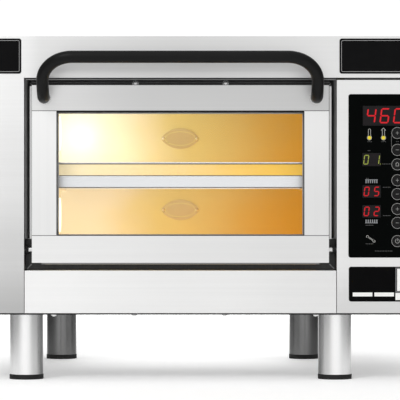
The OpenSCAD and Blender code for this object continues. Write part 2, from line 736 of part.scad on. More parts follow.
module rating_plate() color("#0a0a0a") placed() {
    z = rating_z1 - rating_h / 2;
    plate(keypad_x, z, keypad_w - 1, rating_h, -keypad_t, 0, corner_r);
    for (s = [-1, 1]) rod_y([keypad_x + s * 40, -eps, z], screw_d - 0.4, sheet_t + 1);
}

module din_rail() color("#b9bcc0") placed() {
    x0 = partition_x + partition_t;
    block([x0, rail_y0, rail_z - 12.5], [x0 + 6, rail_y0 + rail_len, rail_z + 12.5]);
    block([x0 + 6 - eps, rail_y0, rail_z - 17.5], [x0 + 7.5, rail_y0 + rail_len, rail_z + 17.5]);
}

// Three contactors on the rail, one for each heating element.
module contactors() color("#3d4247") placed() {
    x0 = partition_x + partition_t + 7.5;
    for (i = [0:2]) {
        y = rail_y0 + 6 + 52 * i;
        block([x0, y, rail_z - 36], [x0 + 50, y + 44, rail_z + 36]);
        block([x0 + 50 - eps, y + 5, rail_z - 22], [x0 + 62, y + 39, rail_z + 22]);
        for (s = [-1, 1]) for (j = [0:2])
            rod_x([x0 + 50 - eps, y + 10 + 12 * j, rail_z + s * 29], 6, 3);
    }
}

module terminal_block() color("#9a9a90") placed() {
    x0 = partition_x + partition_t + 7.5;
    for (i = [0:4]) {
        y = rail_y0 + rail_len - 55 + 11 * i;
        difference() {
            block([x0, y, rail_z - 24], [x0 + 32, y + 10, rail_z + 24]);
            for (s = [-1, 1]) rod_x([x0 + 24, y + 5, rail_z + s * 14], 5, 10);
        }
    }
}

// The fan: a square frame with a round duct and a hub held by four struts, and its rotor.
fan_y0 = rear_y0 - fan_depth;
module fan_housing() color("#202022") placed() {
    difference() {
        plate(fan_x, fan_z, fan_size, fan_size, fan_y0, rear_y0, 5);
        rod_y([fan_x, fan_y0 - 1, fan_z], fan_bore_d, fan_depth + 2);
        for (sx = [-1, 1]) for (sz = [-1, 1])
            rod_y([fan_x + sx * (fan_size / 2 - 6), fan_y0 - 1, fan_z + sz * (fan_size / 2 - 6)], 4.3,
                fan_depth + 2);
    }
    difference() {
        union() {
            rod_y([fan_x, rear_y0 - 5, fan_z], 34, 5);
            for (a = [45, 135]) translate([fan_x, rear_y0 - 2.5, fan_z]) rotate([0, a, 0])
                cube([fan_bore_d + 2, 4, 5], center = true);
        }
        rod_y([fan_x, rear_y0 - 10, fan_z], 4 + 2 * pin_fit, 20);
    }
}
module fan_rotor() color("#2c2c2f") placed() {
    depth = fan_depth - 5 - 4;
    y0 = fan_y0 + 2;
    rod_y([fan_x, y0, fan_z], 34, depth);
    rod_y([fan_x, y0 + depth - eps, fan_z], 4, rear_y0 - fit - y0 - depth);
    blade = fan_bore_d / 2 - 2 - 15;
    for (a = [0:360 / 7:359]) translate([fan_x, y0 + depth / 2, fan_z]) rotate([0, a, 0])
        translate([15 + blade / 2, 0, 0]) rotate([38, 0, 0]) cube([blade, 1.6, 16], center = true);
}

// Supply cable gland: a flanged body through the rear panel with a domed nut outside.
module cable_gland() color("#222222") placed() {
    out = 18;
    difference() {
        union() {
            rod_y([gland_x, rear_y0 - 12, gland_z], gland_bore + 6, 12 + sheet_t + out);
            rod_y([gland_x, rear_y0 - 5, gland_z], gland_bore + 13, 5);
            rod_y([gland_x, body_d, gland_z], gland_bore + 13, 6);
            translate([gland_x, body_d + out, gland_z]) rotate([90, 0, 0])
                cylinder(d1 = gland_bore + 7, d2 = gland_bore + 12, h = out - 7);
        }
        rod_y([gland_x, rear_y0 - 20, gland_z], gland_bore, 60);
    }
}

// ---------------------------------------------------------------- door

module door_top_rail() color("lightgray") placed() {
    z0 = door_z1 - rail_top_h;
    difference() {
        union() {
            block([cell_x - door_w / 2, 0, z0], [cell_x + door_w / 2, door_sheet_t, door_z1]);
            block([cell_x - door_w / 2, door_sheet_t - eps, door_z1 - door_sheet_t],
                [cell_x + door_w / 2, rail_flange, door_z1]);
            for (s = [0, 1]) {
                x = cell_x - door_w / 2 + s * (door_w - door_sheet_t);
                block([x, door_sheet_t - eps, z0], [x + door_sheet_t, rail_flange, door_z1]);
            }
        }
        for (s = [-1, 1]) rod_y([cell_x + s * grip_span / 2, -1, socket_z], 6.4, 5);
    }
}

module door_bottom_rail() color("lightgray") placed() {
    z1 = door_z0 + rail_bottom_h;
    difference() {
        union() {
            block([cell_x - door_w / 2, 0, door_z0], [cell_x + door_w / 2, door_sheet_t, z1]);
            block([cell_x - door_w / 2, door_sheet_t - eps, door_z0],
                [cell_x + door_w / 2, pin_depth - 6, door_z0 + door_sheet_t]);
            for (s = [0, 1]) {
                x = cell_x - door_w / 2 + s * (door_w - door_sheet_t);
                block([x, door_sheet_t - eps, door_z0 + 4], [x + door_sheet_t, rail_flange, z1]);
            }
        }
        rod_x([cell_x - door_w, pin_depth, pin_z], pin_d, 2 * door_w);
    }
}

module door_stiles() color("whitesmoke") placed() {
    z0 = door_z0 + rail_bottom_h + seam;
    z1 = door_z1 - rail_top_h - seam;
    for (s = [0, 1]) {
        x = s == 0 ? cell_x - door_w / 2 : cell_x + door_w / 2 - stile_w;
        edge = s == 0 ? x : x + stile_w - door_sheet_t;
        block([x, 0, z0], [x + stile_w, door_sheet_t, z1]);
        block([edge, door_sheet_t - eps, z0], [edge + door_sheet_t, rail_flange, z1]);
    }
}

// The inner pan closes the door's back. A duct round its window keeps the two panes apart.
module door_inner_frame() color("#b8b8ba") placed() {
    y0 = rail_flange + fit;
    x0 = cell_x - pan_w / 2;
    x1 = cell_x + pan_w / 2;
    wx = window_w / 2 + 5.5;
    difference() {
        union() {
            difference() {
                block([x0, y0, pan_z0], [x1, pan_back, pan_z1]);
                block([x0 + 1.5, y0 - 1, pan_z0 + 1.5], [x1 - 1.5, pan_back - 1.5, pan_z1 - 1.5]);
            }
            for (edge = [x0, x1 - 6])
                block([edge, pin_depth - 6, pan_z0], [edge + 6, y0 + 2, pin_z + 14]);
            difference() {
                block([cell_x - wx - 2, pane_y + glass_t, window_z0 - 7.5],
                    [cell_x + wx + 2, pan_back - 1, window_z1 + 7.5]);
                block([cell_x - wx, 0, window_z0 - 5.5], [cell_x + wx, pan_back - 1.5, window_z1 + 5.5]);
            }
        }
        block([cell_x - window_w / 2 + 1.5, pan_back - 5, window_z0 + 1],
            [cell_x + window_w / 2 - 1.5, pan_back + 5, window_z1 - 3]);
        rod_x([cell_x - door_w, pin_depth, pin_z], pin_d, 2 * door_w);
    }
}

module outer_glass() color("#d8e4e4", 0.35) placed() {
    block([cell_x - window_w / 2 - 10, pane_y, window_z0 - 9],
        [cell_x + window_w / 2 + 10, pane_y + glass_t, window_z1 + 9]);
}

module inner_glass() color("#d8e4e4", 0.35) placed() {
    y1 = pan_back - 1.5;
    block([cell_x - window_w / 2 - 4, y1 - glass_t, window_z0 - 5],
        [cell_x + window_w / 2 + 4, y1, window_z1 + 5]);
}

// Seal on the pan's back: over the mouth and down both sides.
module door_seal() color("#3a3a38") placed() {
    w = 6;
    x = chamber_w / 2 + 5;
    z = mouth_z1 + 4;
    for (s = [-1, 1]) {
        edge = s < 0 ? cell_x - x - w : cell_x + x;
        block([edge, pan_back, pin_z + 3], [edge + w, recess_d - fit, z + w]);
    }
    block([cell_x - x - eps, pan_back, z], [cell_x + x + eps, recess_d - fit, z + w]);
}

// Right half of the handle: stub, root bend, leg and bar bend. Each straight reaches a little into
// the bends, which are a trace thicker.
module handle_half() {
    swollen = handle_d + bend_swell;
    rod_y([0, -socket_stub - bite, 0], handle_d, socket_stub - socket_len + bite);
    translate([0, -socket_stub, root_bend_r]) mirror([0, 1, 0]) rotate([0, 90, 0])
        rotate_extrude(angle = root_turn) translate([root_bend_r, 0]) circle(d = swollen);
    translate([0, root_end_y, root_end_z]) rotate([handle_lean, 0, 0]) translate([0, 0, -bite])
        cylinder(d = handle_d, h = handle_leg + 2 * bite);
    leg_end = [0, root_end_y - handle_leg * sin(handle_lean), root_end_z + handle_leg * cos(handle_lean)];
    translate(leg_end - [bar_bend_r, 0, 0]) rotate([90 + handle_lean, 0, 0])
        rotate_extrude(angle = 90) translate([bar_bend_r, 0]) circle(d = swollen);
}
module door_handle() color("#121212") placed() translate([cell_x, 0, socket_z]) {
    bar = grip_span / 2 - bar_bend_r + bite;
    translate([grip_span / 2, 0, 0]) handle_half();
    mirror([1, 0, 0]) translate([grip_span / 2, 0, 0]) handle_half();
    rod_x([-bar, bar_y, handle_rise], handle_d, 2 * bar);
}

// Steel sockets on the top rail, each with its screw from inside the door.
module handle_sockets() color("#9b9b9d") placed() {
    for (s = [-1, 1]) {
        rod_y([cell_x + s * grip_span / 2, -socket_len, socket_z], handle_d + 2, socket_len);
        rod_y([cell_x + s * grip_span / 2, -eps, socket_z], 6, door_sheet_t + 1);
        rod_y([cell_x + s * grip_span / 2, door_sheet_t, socket_z], 11, 4);
    }
}

// Hinge: pins fixed in the door turn in bearing blocks behind the recess walls.
bearing_t = 9;
module hinge_pins() color("#c9c9cb") placed() {
    len = door_gap_side + sheet_t + bearing_t + 8;
    for (s = [-1, 1]) {
        x = s < 0 ? cell_x - door_w / 2 - len + 8 : cell_x + door_w / 2 - 8;
        rod_x([x, pin_depth, pin_z], pin_d, len);
    }
}
module hinge_bearings() color("#8a8a8c") placed() {
    for (x = [recess_x0 - sheet_t - bearing_t, recess_x1 + sheet_t]) difference() {
        block([x, flange_d + fit, pin_z - 12], [x + bearing_t, recess_d, pin_z + 12]);
        rod_x([x - 1, pin_depth, pin_z], pin_d + 2 * pin_fit, bearing_t + 2);
    }
}

// ---------------------------------------------------------------- legs and feet

// A leg: tube with a bored insert at its foot, a stud up through the base and a nut over the beam.
module leg_tubes() color("silver") placed() {
    z0 = foot_h + moving_gap;
    for (p = legs) translate([p[0], p[1], 0]) {
        difference() {
            translate([0, 0, z0]) cylinder(d = leg_d, h = leg_h - z0);
            translate([0, 0, z0 + insert_h]) cylinder(d = leg_d - 2 * leg_wall, h = leg_h - z0 - insert_h - 3);
            translate([0, 0, z0 - 1]) cylinder(d = stem_d + 2 * pin_fit, h = insert_h + 2);
        }
        translate([0, 0, leg_h - eps]) cylinder(d = stud_d, h = sheet_t + beam_h + 10);
        translate([0, 0, leg_h + sheet_t + beam_h]) cylinder(d = 19, h = 8, $fn = 6);
    }
}

// A levelling foot: a round pad on a stem that screws down out of the leg's insert.
module foot(i) color("#161616") placed() translate([legs[i][0], legs[i][1], 0]) {
    cylinder(d = leg_d + 1, h = foot_h);
    translate([0, 0, foot_h - eps]) cylinder(d = stem_d, h = stem_len);
}

// ---------------------------------------------------------------- nodes

front_fascia();
control_front_panel();
lower_front_panel();
top_cover();
left_side_panel();
right_side_panel();
rear_panel();
base_tray();
badge_plates();
casing_screws();
chassis_frame();
front_frame();
side_channels();
chamber_liner();
hearth_stone_upper();
hearth_stone_lower();
stone_carriers();
heating_elements();
insulation_blocks();
oval_cover_plates();
lamp_holders();
lamp_bulbs();
lamp_glasses();
thermocouple();
steam_vent();
partition_wall();
keypad_face();
controller_board();
segment_displays();
rating_plate();
din_rail();
contactors();
terminal_block();
fan_housing();
fan_rotor();
cable_gland();
hinge_bearings();
leg_tubes();
foot(0);  // foot_front_left
foot(1);  // foot_front_right
foot(2);  // foot_rear_left
foot(3);  // foot_rear_right
door_top_rail();
door_bottom_rail();
door_stiles();
door_inner_frame();
outer_glass();
inner_glass();
door_seal();
door_handle();
handle_sockets();
hinge_pins();
key(1);  // key_1
key(2);  // key_2
key(3);  // key_3
key(4);  // key_4
key(5);  // key_5
key(6);  // key_6
key(7);  // key_7
key(8);  // key_8
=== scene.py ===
"""The finished look of a countertop deck oven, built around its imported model."""

from __future__ import annotations

import logging
import math
import sys
from dataclasses import dataclass, field
from enum import Enum
from typing import Any, Iterable, Mapping, Optional, Sequence

import bmesh
import bpy
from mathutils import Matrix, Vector


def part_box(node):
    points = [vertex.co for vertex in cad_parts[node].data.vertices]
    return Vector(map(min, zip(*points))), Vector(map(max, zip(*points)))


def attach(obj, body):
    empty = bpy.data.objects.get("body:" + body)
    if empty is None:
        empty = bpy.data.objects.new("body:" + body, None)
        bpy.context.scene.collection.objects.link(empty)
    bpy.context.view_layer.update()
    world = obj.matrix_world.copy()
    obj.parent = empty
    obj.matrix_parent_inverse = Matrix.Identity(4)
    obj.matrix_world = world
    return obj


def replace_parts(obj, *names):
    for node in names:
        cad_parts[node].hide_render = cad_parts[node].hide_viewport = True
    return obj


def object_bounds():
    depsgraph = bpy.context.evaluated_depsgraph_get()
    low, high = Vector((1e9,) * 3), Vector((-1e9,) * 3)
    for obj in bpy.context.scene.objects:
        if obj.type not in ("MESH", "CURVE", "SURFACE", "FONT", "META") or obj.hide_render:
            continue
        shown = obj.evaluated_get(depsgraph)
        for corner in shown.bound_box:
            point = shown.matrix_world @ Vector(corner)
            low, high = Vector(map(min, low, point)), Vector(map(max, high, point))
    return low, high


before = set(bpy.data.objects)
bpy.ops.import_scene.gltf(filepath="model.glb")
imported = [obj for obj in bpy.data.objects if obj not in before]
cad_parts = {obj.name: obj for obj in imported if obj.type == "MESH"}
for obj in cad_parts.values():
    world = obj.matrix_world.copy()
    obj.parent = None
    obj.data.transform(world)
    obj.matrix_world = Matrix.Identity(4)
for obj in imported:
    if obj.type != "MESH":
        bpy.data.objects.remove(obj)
CAD_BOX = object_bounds()

log = logging.getLogger("deck_oven")
MM = 0.001
FRONT_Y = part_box("lower_front_panel")[0].y
ROOT = "oven"
DOOR = "door"

Rgb = tuple[float, float, float]
Place = tuple[float, float, float]
Point = tuple[float, float]
Tones = tuple[Point, ...]


# ---------------------------------------------------------------- frame helpers


def linear(tone: float) -> float:
    """Turns a display tone from 0 to 1 into a linear one."""
    return tone / 12.92 if tone <= 0.04045 else ((tone + 0.055) / 1.055) ** 2.4


def grey(tone: float) -> Rgb:
    """A linear grey of a display tone."""
    return (linear(tone),) * 3


def linear_rgb(colour: Rgb) -> Rgb:
    """Turns a display colour into a linear one."""
    return tuple(linear(c) for c in colour)


@dataclass(frozen=True)
class Extent:
    """A box in millimetres: x across, y back from the front plane, z up."""

    x0: float
    y0: float
    z0: float
    x1: float
    y1: float
    z1: float

    @classmethod
    def from_corners(cls, low: Vector, high: Vector) -> "Extent":
        """Reads a box from two world corners in metres."""
        return cls(
            low.x / MM, (low.y - FRONT_Y) / MM, low.z / MM,
            high.x / MM, (high.y - FRONT_Y) / MM, high.z / MM,
        )

    @classmethod
    def of(cls, node: str) -> "Extent":
        """Reads the box of a CAD node."""
        return cls.from_corners(*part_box(node))

    @property
    def centre(self) -> Place:
        """The middle of the box."""
        return (self.x0 + self.x1) / 2, (self.y0 + self.y1) / 2, (self.z0 + self.z1) / 2

    @property
    def width(self) -> float:
        """Size across."""
        return self.x1 - self.x0

    @property
    def height(self) -> float:
        """Size upwards."""
        return self.z1 - self.z0


def separate_boxes(node: str) -> list[Extent]:
    """Finds the separate solids of a CAD node.

    Args:
        node: Name of the CAD node.

    Returns:
        One box for each solid, from the left and from below.
    """
    mesh = bmesh.new()
    mesh.from_mesh(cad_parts[node].data)
    bmesh.ops.remove_doubles(mesh, verts=mesh.verts, dist=1e-6)
    left = set(mesh.verts)
    found = []
    while left:
        wave = [left.pop()]
        island = list(wave)
        while wave:
            near = {e.other_vert(v) for v in wave for e in v.link_edges} & left
            left -= near
            wave = list(near)
            island += wave
        xs, ys, zs = zip(*(v.co for v in island))
        low, high = Vector((min(xs), min(ys), min(zs))), Vector((max(xs), max(ys), max(zs)))
        found.append(Extent.from_corners(low, high))
    mesh.free()
    return sorted(found, key=lambda e: (round(e.z0, 1), round(e.x0, 1), round(e.y0, 1)))


# ---------------------------------------------------------------- node trees


class Socket:
    """An output socket whose arithmetic adds the Math nodes it needs."""

    def __init__(self, bench: "Bench", socket: bpy.types.NodeSocket) -> None:
        """Wraps a socket of the bench's tree."""
        self.bench = bench
        self.socket = socket

    def _math(self, operation: str, *values: Any) -> "Socket":
        """Adds one Math node on the values."""
        inputs = dict(enumerate(values))
        return self.bench.add("ShaderNodeMath", {"operation": operation}, inputs)

    def __add__(self, other: Any) -> "Socket":
        """self + other."""
        return self._math("ADD", self, other)

    def __radd__(self, other: Any) -> "Socket":
        """other + self."""
        return self._math("ADD", other, self)

    def __sub__(self, other: Any) -> "Socket":
        """self - other."""
        return self._math("SUBTRACT", self, other)

    def __rsub__(self, other: Any) -> "Socket":
        """other - self."""
        return self._math("SUBTRACT", other, self)

    def __mul__(self, other: Any) -> "Socket":
        """self * other."""
        return self._math("MULTIPLY", self, other)

    def __rmul__(self, other: Any) -> "Socket":
        """other * self."""
        return self._math("MULTIPLY", other, self)

    def __truediv__(self, other: Any) -> "Socket":
        """self / other."""
        return self._math("DIVIDE", self, other)

    def size(self) -> "Socket":
        """The value without its sign."""
        return self._math("ABSOLUTE", self)

    def step(self, start: float, end: float, low: float = 0.0, high: float = 1.0) -> "Socket":
        """Goes smoothly from low to high between start and end.

        Args:
            start: Value where the change begins.
            end: Value where the change ends.
            low: Result before start.
            high: Result after end.

        Returns:
            The eased value.
        """
        return self.bench.add(
            "ShaderNodeMapRange",
            {"interpolation_type": "SMOOTHSTEP"},
            {"Value": self, "From Min": start, "From Max": end, "To Min": low, "To Max": high},
        )


class Bench:
    """A node tree under construction."""

    def __init__(self, tree: bpy.types.NodeTree) -> None:
        """Takes an empty tree."""
        self.tree = tree
        self._object: Optional[Socket] = None

    def raw(
        self,
        kind: str,
        settings: Optional[Mapping[str, Any]] = None,
        inputs: Optional[Mapping[Any, Any]] = None,
    ) -> bpy.types.Node:
        """Adds a node, its settings first and then its sockets.

        Args:
            kind: The node's type.
            settings: Properties by name; "stops" fills a colour ramp.
            inputs: Values, sockets or lists of sockets by socket name or index.

        Returns:
            The node.
        """
        node = self.tree.nodes.new(kind)
        for name, value in (settings or {}).items():
            if name == "stops":
                self._fill_ramp(node.color_ramp, value)
            else:
                setattr(node, name, value)
        for name, value in (inputs or {}).items():
            for single in value if isinstance(value, list) else [value]:
                self._feed(node.inputs[name], single)
        return node

    def add(
        self,
        kind: str,
        settings: Optional[Mapping[str, Any]] = None,
        inputs: Optional[Mapping[Any, Any]] = None,
        output: Any = 0,
    ) -> Socket:
        """Adds a node as raw does and returns one of its outputs."""
        return Socket(self, self.raw(kind, settings, inputs).outputs[output])

    def _feed(self, target: bpy.types.NodeSocket, value: Any) -> None:
        """Links or sets one input socket.

        Args:
            target: The input.
            value: A socket to link or a plain value.
        """
        if isinstance(value, Socket):
            self.tree.links.new(value.socket, target)
        else:
            target.default_value = value

    @staticmethod
    def _fill_ramp(ramp: bpy.types.ColorRamp, stops: Sequence[tuple[float, Rgb]]) -> None:
        """Gives a ramp its stops.

        Args:
            ramp: The ramp.
            stops: Place from 0 to 1 and linear colour of each stop.
        """
        ramp.interpolation = "EASE"
        while len(ramp.elements) < len(stops):
            ramp.elements.new(1.0)
        for element, (place, colour) in zip(ramp.elements, stops):
            element.position = place
            element.color = (*colour, 1.0)

    # -- surface patterns

    @property
    def place(self) -> Socket:
        """The point on the piece, in metres, from one shared node."""
        if self._object is None:
            self._object = self.add("ShaderNodeTexCoord", output="Object")
        return self._object

    def along(self, axis: int) -> Socket:
        """One coordinate of the point, in millimetres."""
        return self.add("ShaderNodeSeparateXYZ", None, {0: self.place}, axis) * (1 / MM)

    def stretched(self, scale: Sequence[float]) -> Socket:
        """The point with each axis scaled, for a pattern that runs one way."""
        return self.add(
            "ShaderNodeVectorMath", {"operation": "MULTIPLY"}, {0: self.place, 1: tuple(scale)}
        )

    def noise(self, vector: Socket, scale: float, detail: float = 3.0) -> Socket:
        """Soft noise around one half."""
        return self.add(
            "ShaderNodeTexNoise", None, {"Vector": vector, "Scale": scale, "Detail": detail}
        )

    def grey(self, level: Socket) -> Socket:
        """A grey of this linear level."""
        return self.add("ShaderNodeCombineColor", None, {0: level, 1: level, 2: level})

    def ramp(self, value: Socket, stops: Sequence[tuple[float, Rgb]]) -> Socket:
        """A colour ramp over any range of the value.

        Args:
            value: What the ramp reads.
            stops: Value and linear colour of each stop, in rising order.

        Returns:
            The colour.
        """
        low, high = stops[0][0], stops[-1][0]
        share = (value - low) / (high - low)
        scaled = [((place - low) / (high - low), colour) for place, colour in stops]
        return self.add("ShaderNodeValToRGB", {"stops": scaled}, {0: share}, "Color")

    def mix(self, factor: Any, first: Any, second: Any) -> Socket:
        """Mixes two colours.

        Args:
            factor: Share of the second colour, from 0 to 1.
            first: The first colour.
            second: The second colour.

        Returns:
            The mix.
        """
        sockets = {0: factor, 6: first, 7: second}
        return self.add("ShaderNodeMix", {"data_type": "RGBA"}, sockets, 2)

    def tinted(self, colour: Any, factor: Socket) -> Socket:
        """A colour made lighter or darker by a factor around one."""
        return self.add(
            "ShaderNodeVectorMath", {"operation": "SCALE"}, {0: colour, "Scale": factor}
        )

    def bump(self, height: Socket, distance: float, strength: float = 1.0) -> Socket:
        """A surface relief.

        Args:
            height: The relief from 0 to 1.
            distance: Its depth in metres.
            strength: How much of it shows.

        Returns:
            The normal.
        """
        return self.add(
            "ShaderNodeBump", None,
            {"Height": height, "Distance": distance, "Strength": strength},
        )


# ---------------------------------------------------------------- finishes


class Grain(Enum):
    """The way that a sheet's brushing runs."""

    ACROSS = (5.0, 900.0, 900.0)
    DEEP = (900.0, 5.0, 900.0)
    UPRIGHT = (900.0, 900.0, 5.0)


class Finish:
    """A surface finish. Its material is made once and shared."""

    made: dict["Finish", bpy.types.Material] = {}

    def material(self) -> bpy.types.Material:
        """Makes the finish's material at its first use.

        Returns:
            The material.
        """
        if self not in Finish.made:
            made = bpy.data.materials.new(type(self).__name__)
            made.use_nodes = True
            made.node_tree.nodes.clear()
            bench = Bench(made.node_tree)
            shader = self.shade(bench)
            bench.raw("ShaderNodeOutputMaterial", None, {"Surface": shader})
            Finish.made[self] = made
        return Finish.made[self]

    def shade(self, bench: Bench) -> Socket:
        """Builds the shader on a bench and returns its output."""
        raise NotImplementedError

    @staticmethod
    def principled(bench: Bench, **sockets: Any) -> Socket:
        """A Principled shader with its sockets named in snake case.

        Args:
            bench: The bench to build on.
            **sockets: Values or sockets by the input's name.

        Returns:
            The shader.
        """
        inputs = {
            name.replace("_", " ").title().replace("Ior", "IOR"): value
            for name, value in sockets.items()
        }
        return bench.add("ShaderNodeBsdfPrincipled", None, inputs)


@dataclass(frozen=True)
class BrushedSteel(Finish):
    """Stainless sheet with a fine one-way grain and a slow drift of its tone; its across and
    upward tone ramps are painted light and shade.
    """

    tone: float = 0.92
    grain: Grain = Grain.ACROSS
    across: Tones = ()
    upward: Tones = ()
    roughness: float = 0.34
    streaks: float = 0.055
    edge: float = 0.0006

    def shade(self, bench: Bench) -> Socket:
        """Grain in tone, roughness and relief, softly rounded edges, and painted light and shade
        from the tone ramps.

        Args:
            bench: The bench to build on.

        Returns:
            The shader.
        """
        runs = bench.stretched(self.grain.value)
        fine = bench.noise(runs, 1.0, 4.0)
        broad = bench.noise(bench.stretched([s / 6 for s in self.grain.value]), 1.0, 2.0)
        cloud = bench.noise(bench.place, 6.0, 1.0)
        drift = fine * self.streaks + broad * self.streaks + cloud * 0.05
        level = drift + (linear(self.tone) - self.streaks - 0.025)
        # The across and upward ramps paint light and shade onto the tone: painted sheen,
        # reflection and shadow along the sheet.
        for axis, stops in ((0, self.across), (2, self.upward)):
            if stops:
                painted_light_greys = [(place, (linear(t) / linear(self.tone),) * 3) for place, t in stops]
                level = level * bench.ramp(bench.along(axis), painted_light_greys)
        colour = bench.add("ShaderNodeCombineColor", None, {0: level, 1: level, 2: level * 0.995})
        rough = broad * 0.10 + fine * 0.10 + (self.roughness - 0.10)
        rounded = bench.add("ShaderNodeBevel", {"samples": 4}, {"Radius": self.edge})
        normal = bench.add(
            "ShaderNodeBump", None,
            {"Height": fine, "Distance": 0.00002, "Strength": 0.5, "Normal": rounded},
        )
        return self.principled(
            bench, base_color=colour, metallic=1.0, roughness=rough, normal=normal
        )


@dataclass(frozen=True)
class TubeSteel(Finish):
    """Polished leg tube with painted reflection toned around each leg, and the rear pair painted
    darker as the oven's shade.
    """

    front: Tones
    rear: Tones
    depth: float
    top: float
    roughness: float = 0.2
    shade_height: float = 17.0

    def shade(self, bench: Bench) -> Socket:
        """Fine upright grain over painted reflection that follows the tube's roundness, with
        painted shade at the top.

        Args:
            bench: The bench to build on.

        Returns:
            The shader.
        """
        fine = bench.noise(bench.stretched(Grain.UPRIGHT.value), 1.0, 4.0)
        across = bench.along(0)
        near, far = (
            bench.ramp(across, [(place, grey(tone)) for place, tone in tones])
            for tones in (self.front, self.rear)
        )
        # The rear pair take darker tones: painted shade under the oven.
        behind = bench.along(1).step(self.depth - 1.0, self.depth + 1.0)
        # The top of each tube is painted darker: painted shadow under the casing.
        under = bench.along(2).step(self.top - self.shade_height, self.top, 1.0, 0.35)
        colour = bench.tinted(bench.mix(behind, near, far), (fine * 0.06 + 0.95) * under)
        return self.principled(
            bench, base_color=colour, metallic=1.0, roughness=fine * 0.08 + self.roughness,
            normal=bench.bump(fine, 0.00002, 0.4),
        )


@dataclass(frozen=True)
class RecessSteel(Finish):
    """Dark steel sheet; in the deep gap around the door its darkness is painted shade."""

    tone: float = 0.22
    lift: float = 0.03

    def shade(self, bench: Bench) -> Socket:
        """Dark cloudy metal with a light polish where hands and cloths reach.

        Args:
            bench: The bench to build on.

        Returns:
            The shader.
        """
        cloud = bench.noise(bench.place, 18.0, 4.0)
        fine = bench.noise(bench.stretched((500.0, 500.0, 40.0)), 1.0, 2.0)
        level = cloud * self.lift + fine * 0.03 + (linear(self.tone) - self.lift / 2)
        colour = bench.grey(level)
        return self.principled(
            bench, base_color=colour, metallic=0.9, roughness=cloud * 0.25 + 0.25,
            normal=bench.bump(cloud, 0.0002, 0.2),
        )


@dataclass(frozen=True)
class HeatTintedSteel(Finish):
    """Chamber sheet, pale to straw and gold across: heat tint together with painted lamplight,
    pale near the lamps and falling off to gold, and a faint painted glow.
    """

    left: float = -231.5
    right: float = 173.5
    pale: Rgb = (0.99, 0.98, 0.93)
    straw: Rgb = (0.93, 0.885, 0.62)
    gold: Rgb = (0.88, 0.73, 0.25)
    deck: float = 236.0
    painted_lamp_light_shift: float = 0.0
    metallic: float = 0.25
    roughness: float = 0.42
    painted_glow: float = 0.0

    def shade(self, bench: Bench) -> Socket:
        """Tint and painted lamplight by place, with mottled oxide and fine rolling marks.

        Args:
            bench: The bench to build on.

        Returns:
            The shader.
        """
        cloud = bench.noise(bench.place, 14.0, 3.0)
        marks = bench.noise(bench.stretched((30.0, 30.0, 700.0)), 1.0, 3.0)
        span = self.right - self.left
        # The upper deck's ramp is shifted paler: painted light of the upper lamp.
        shift = bench.along(2).step(self.deck, self.deck + 80.0) * self.painted_lamp_light_shift
        place = bench.along(0) + (cloud - 0.5) * 60.0 - shift
        # Pale near the lamps at the left, straw and gold further off: heat tint with painted
        # falloff of the lamplight.
        tint = bench.ramp(
            place,
            [
                (self.left, linear_rgb(self.pale)),
                (self.left + 0.12 * span, linear_rgb(self.pale)),
                (self.left + 0.42 * span, linear_rgb(self.straw)),
                (self.right, linear_rgb(self.gold)),
            ],
        )
        colour = bench.tinted(tint, cloud * 0.10 + marks * 0.08 + 0.90)
        # The emission is a painted glow: the sheet is no lamp.
        return self.principled(
            bench, base_color=colour, metallic=self.metallic,
            roughness=marks * 0.15 + (self.roughness - 0.07),
            normal=bench.bump(marks, 0.00003, 0.5),
            emission_color=colour, emission_strength=self.painted_glow,
        )


@dataclass(frozen=True)
class HearthStone(Finish):
    """Fired cordierite: pale buff, pitted and speckled, painted browner away from the lamps as
    lamplight falloff, with a faint painted glow.
    """

    light: Rgb = (1.0, 0.93, 0.76)
    painted_falloff_brown: Rgb = (0.95, 0.76, 0.30)
    painted_glow: float = 0.38

    def shade(self, bench: Bench) -> Socket:
        """Grains, pits, and painted lamplight falling off from pale to brown.

        Args:
            bench: The bench to build on.

        Returns:
            The shader.
        """
        grains = bench.noise(bench.place, 420.0, 4.0)
        cloud = bench.noise(bench.place, 16.0, 3.0)
        pits = bench.add("ShaderNodeTexVoronoi", None, {"Vector": bench.place, "Scale": 260.0})
        # Pale at the left near the lamps and browner to the right: painted falloff of the
        # lamplight.
        place = bench.along(0) + (cloud - 0.5) * 120.0
        tint = bench.ramp(
            place, [(-230.0, linear_rgb(self.light)), (150.0, linear_rgb(self.painted_falloff_brown))]
        )
        colour = bench.tinted(tint, grains * 0.20 + cloud * 0.08 + 0.84)
        # The emission is a painted glow: the stone is no lamp.
        return self.principled(
            bench, base_color=colour, roughness=grains * 0.2 + 0.72,
            normal=bench.bump(pits.step(0.0, 0.35), 0.0004, 0.5),
            emission_color=colour, emission_strength=self.painted_glow,
        )


@dataclass(frozen=True)
class BlackGloss(Finish):
    """Printed polyester film behind a clear lacquer."""

    colour: Rgb = (0.016, 0.022, 0.020)
    shine: float = 0.018

    def shade(self, bench: Bench) -> Socket:
        """Deep black with the faint ripple of a laminated film.

        Args:
            bench: The bench to build on.

        Returns:
            The shader.
        """
        ripple = bench.noise(bench.place, 60.0, 2.0)
        colour = bench.tinted(linear_rgb(self.colour), ripple * 0.5 + 0.75)
        return self.principled(
            bench, base_color=colour, roughness=ripple * 0.08 + 0.14,
            specular_ior_level=self.shine, normal=bench.bump(ripple, 0.0002, 0.15),
        )


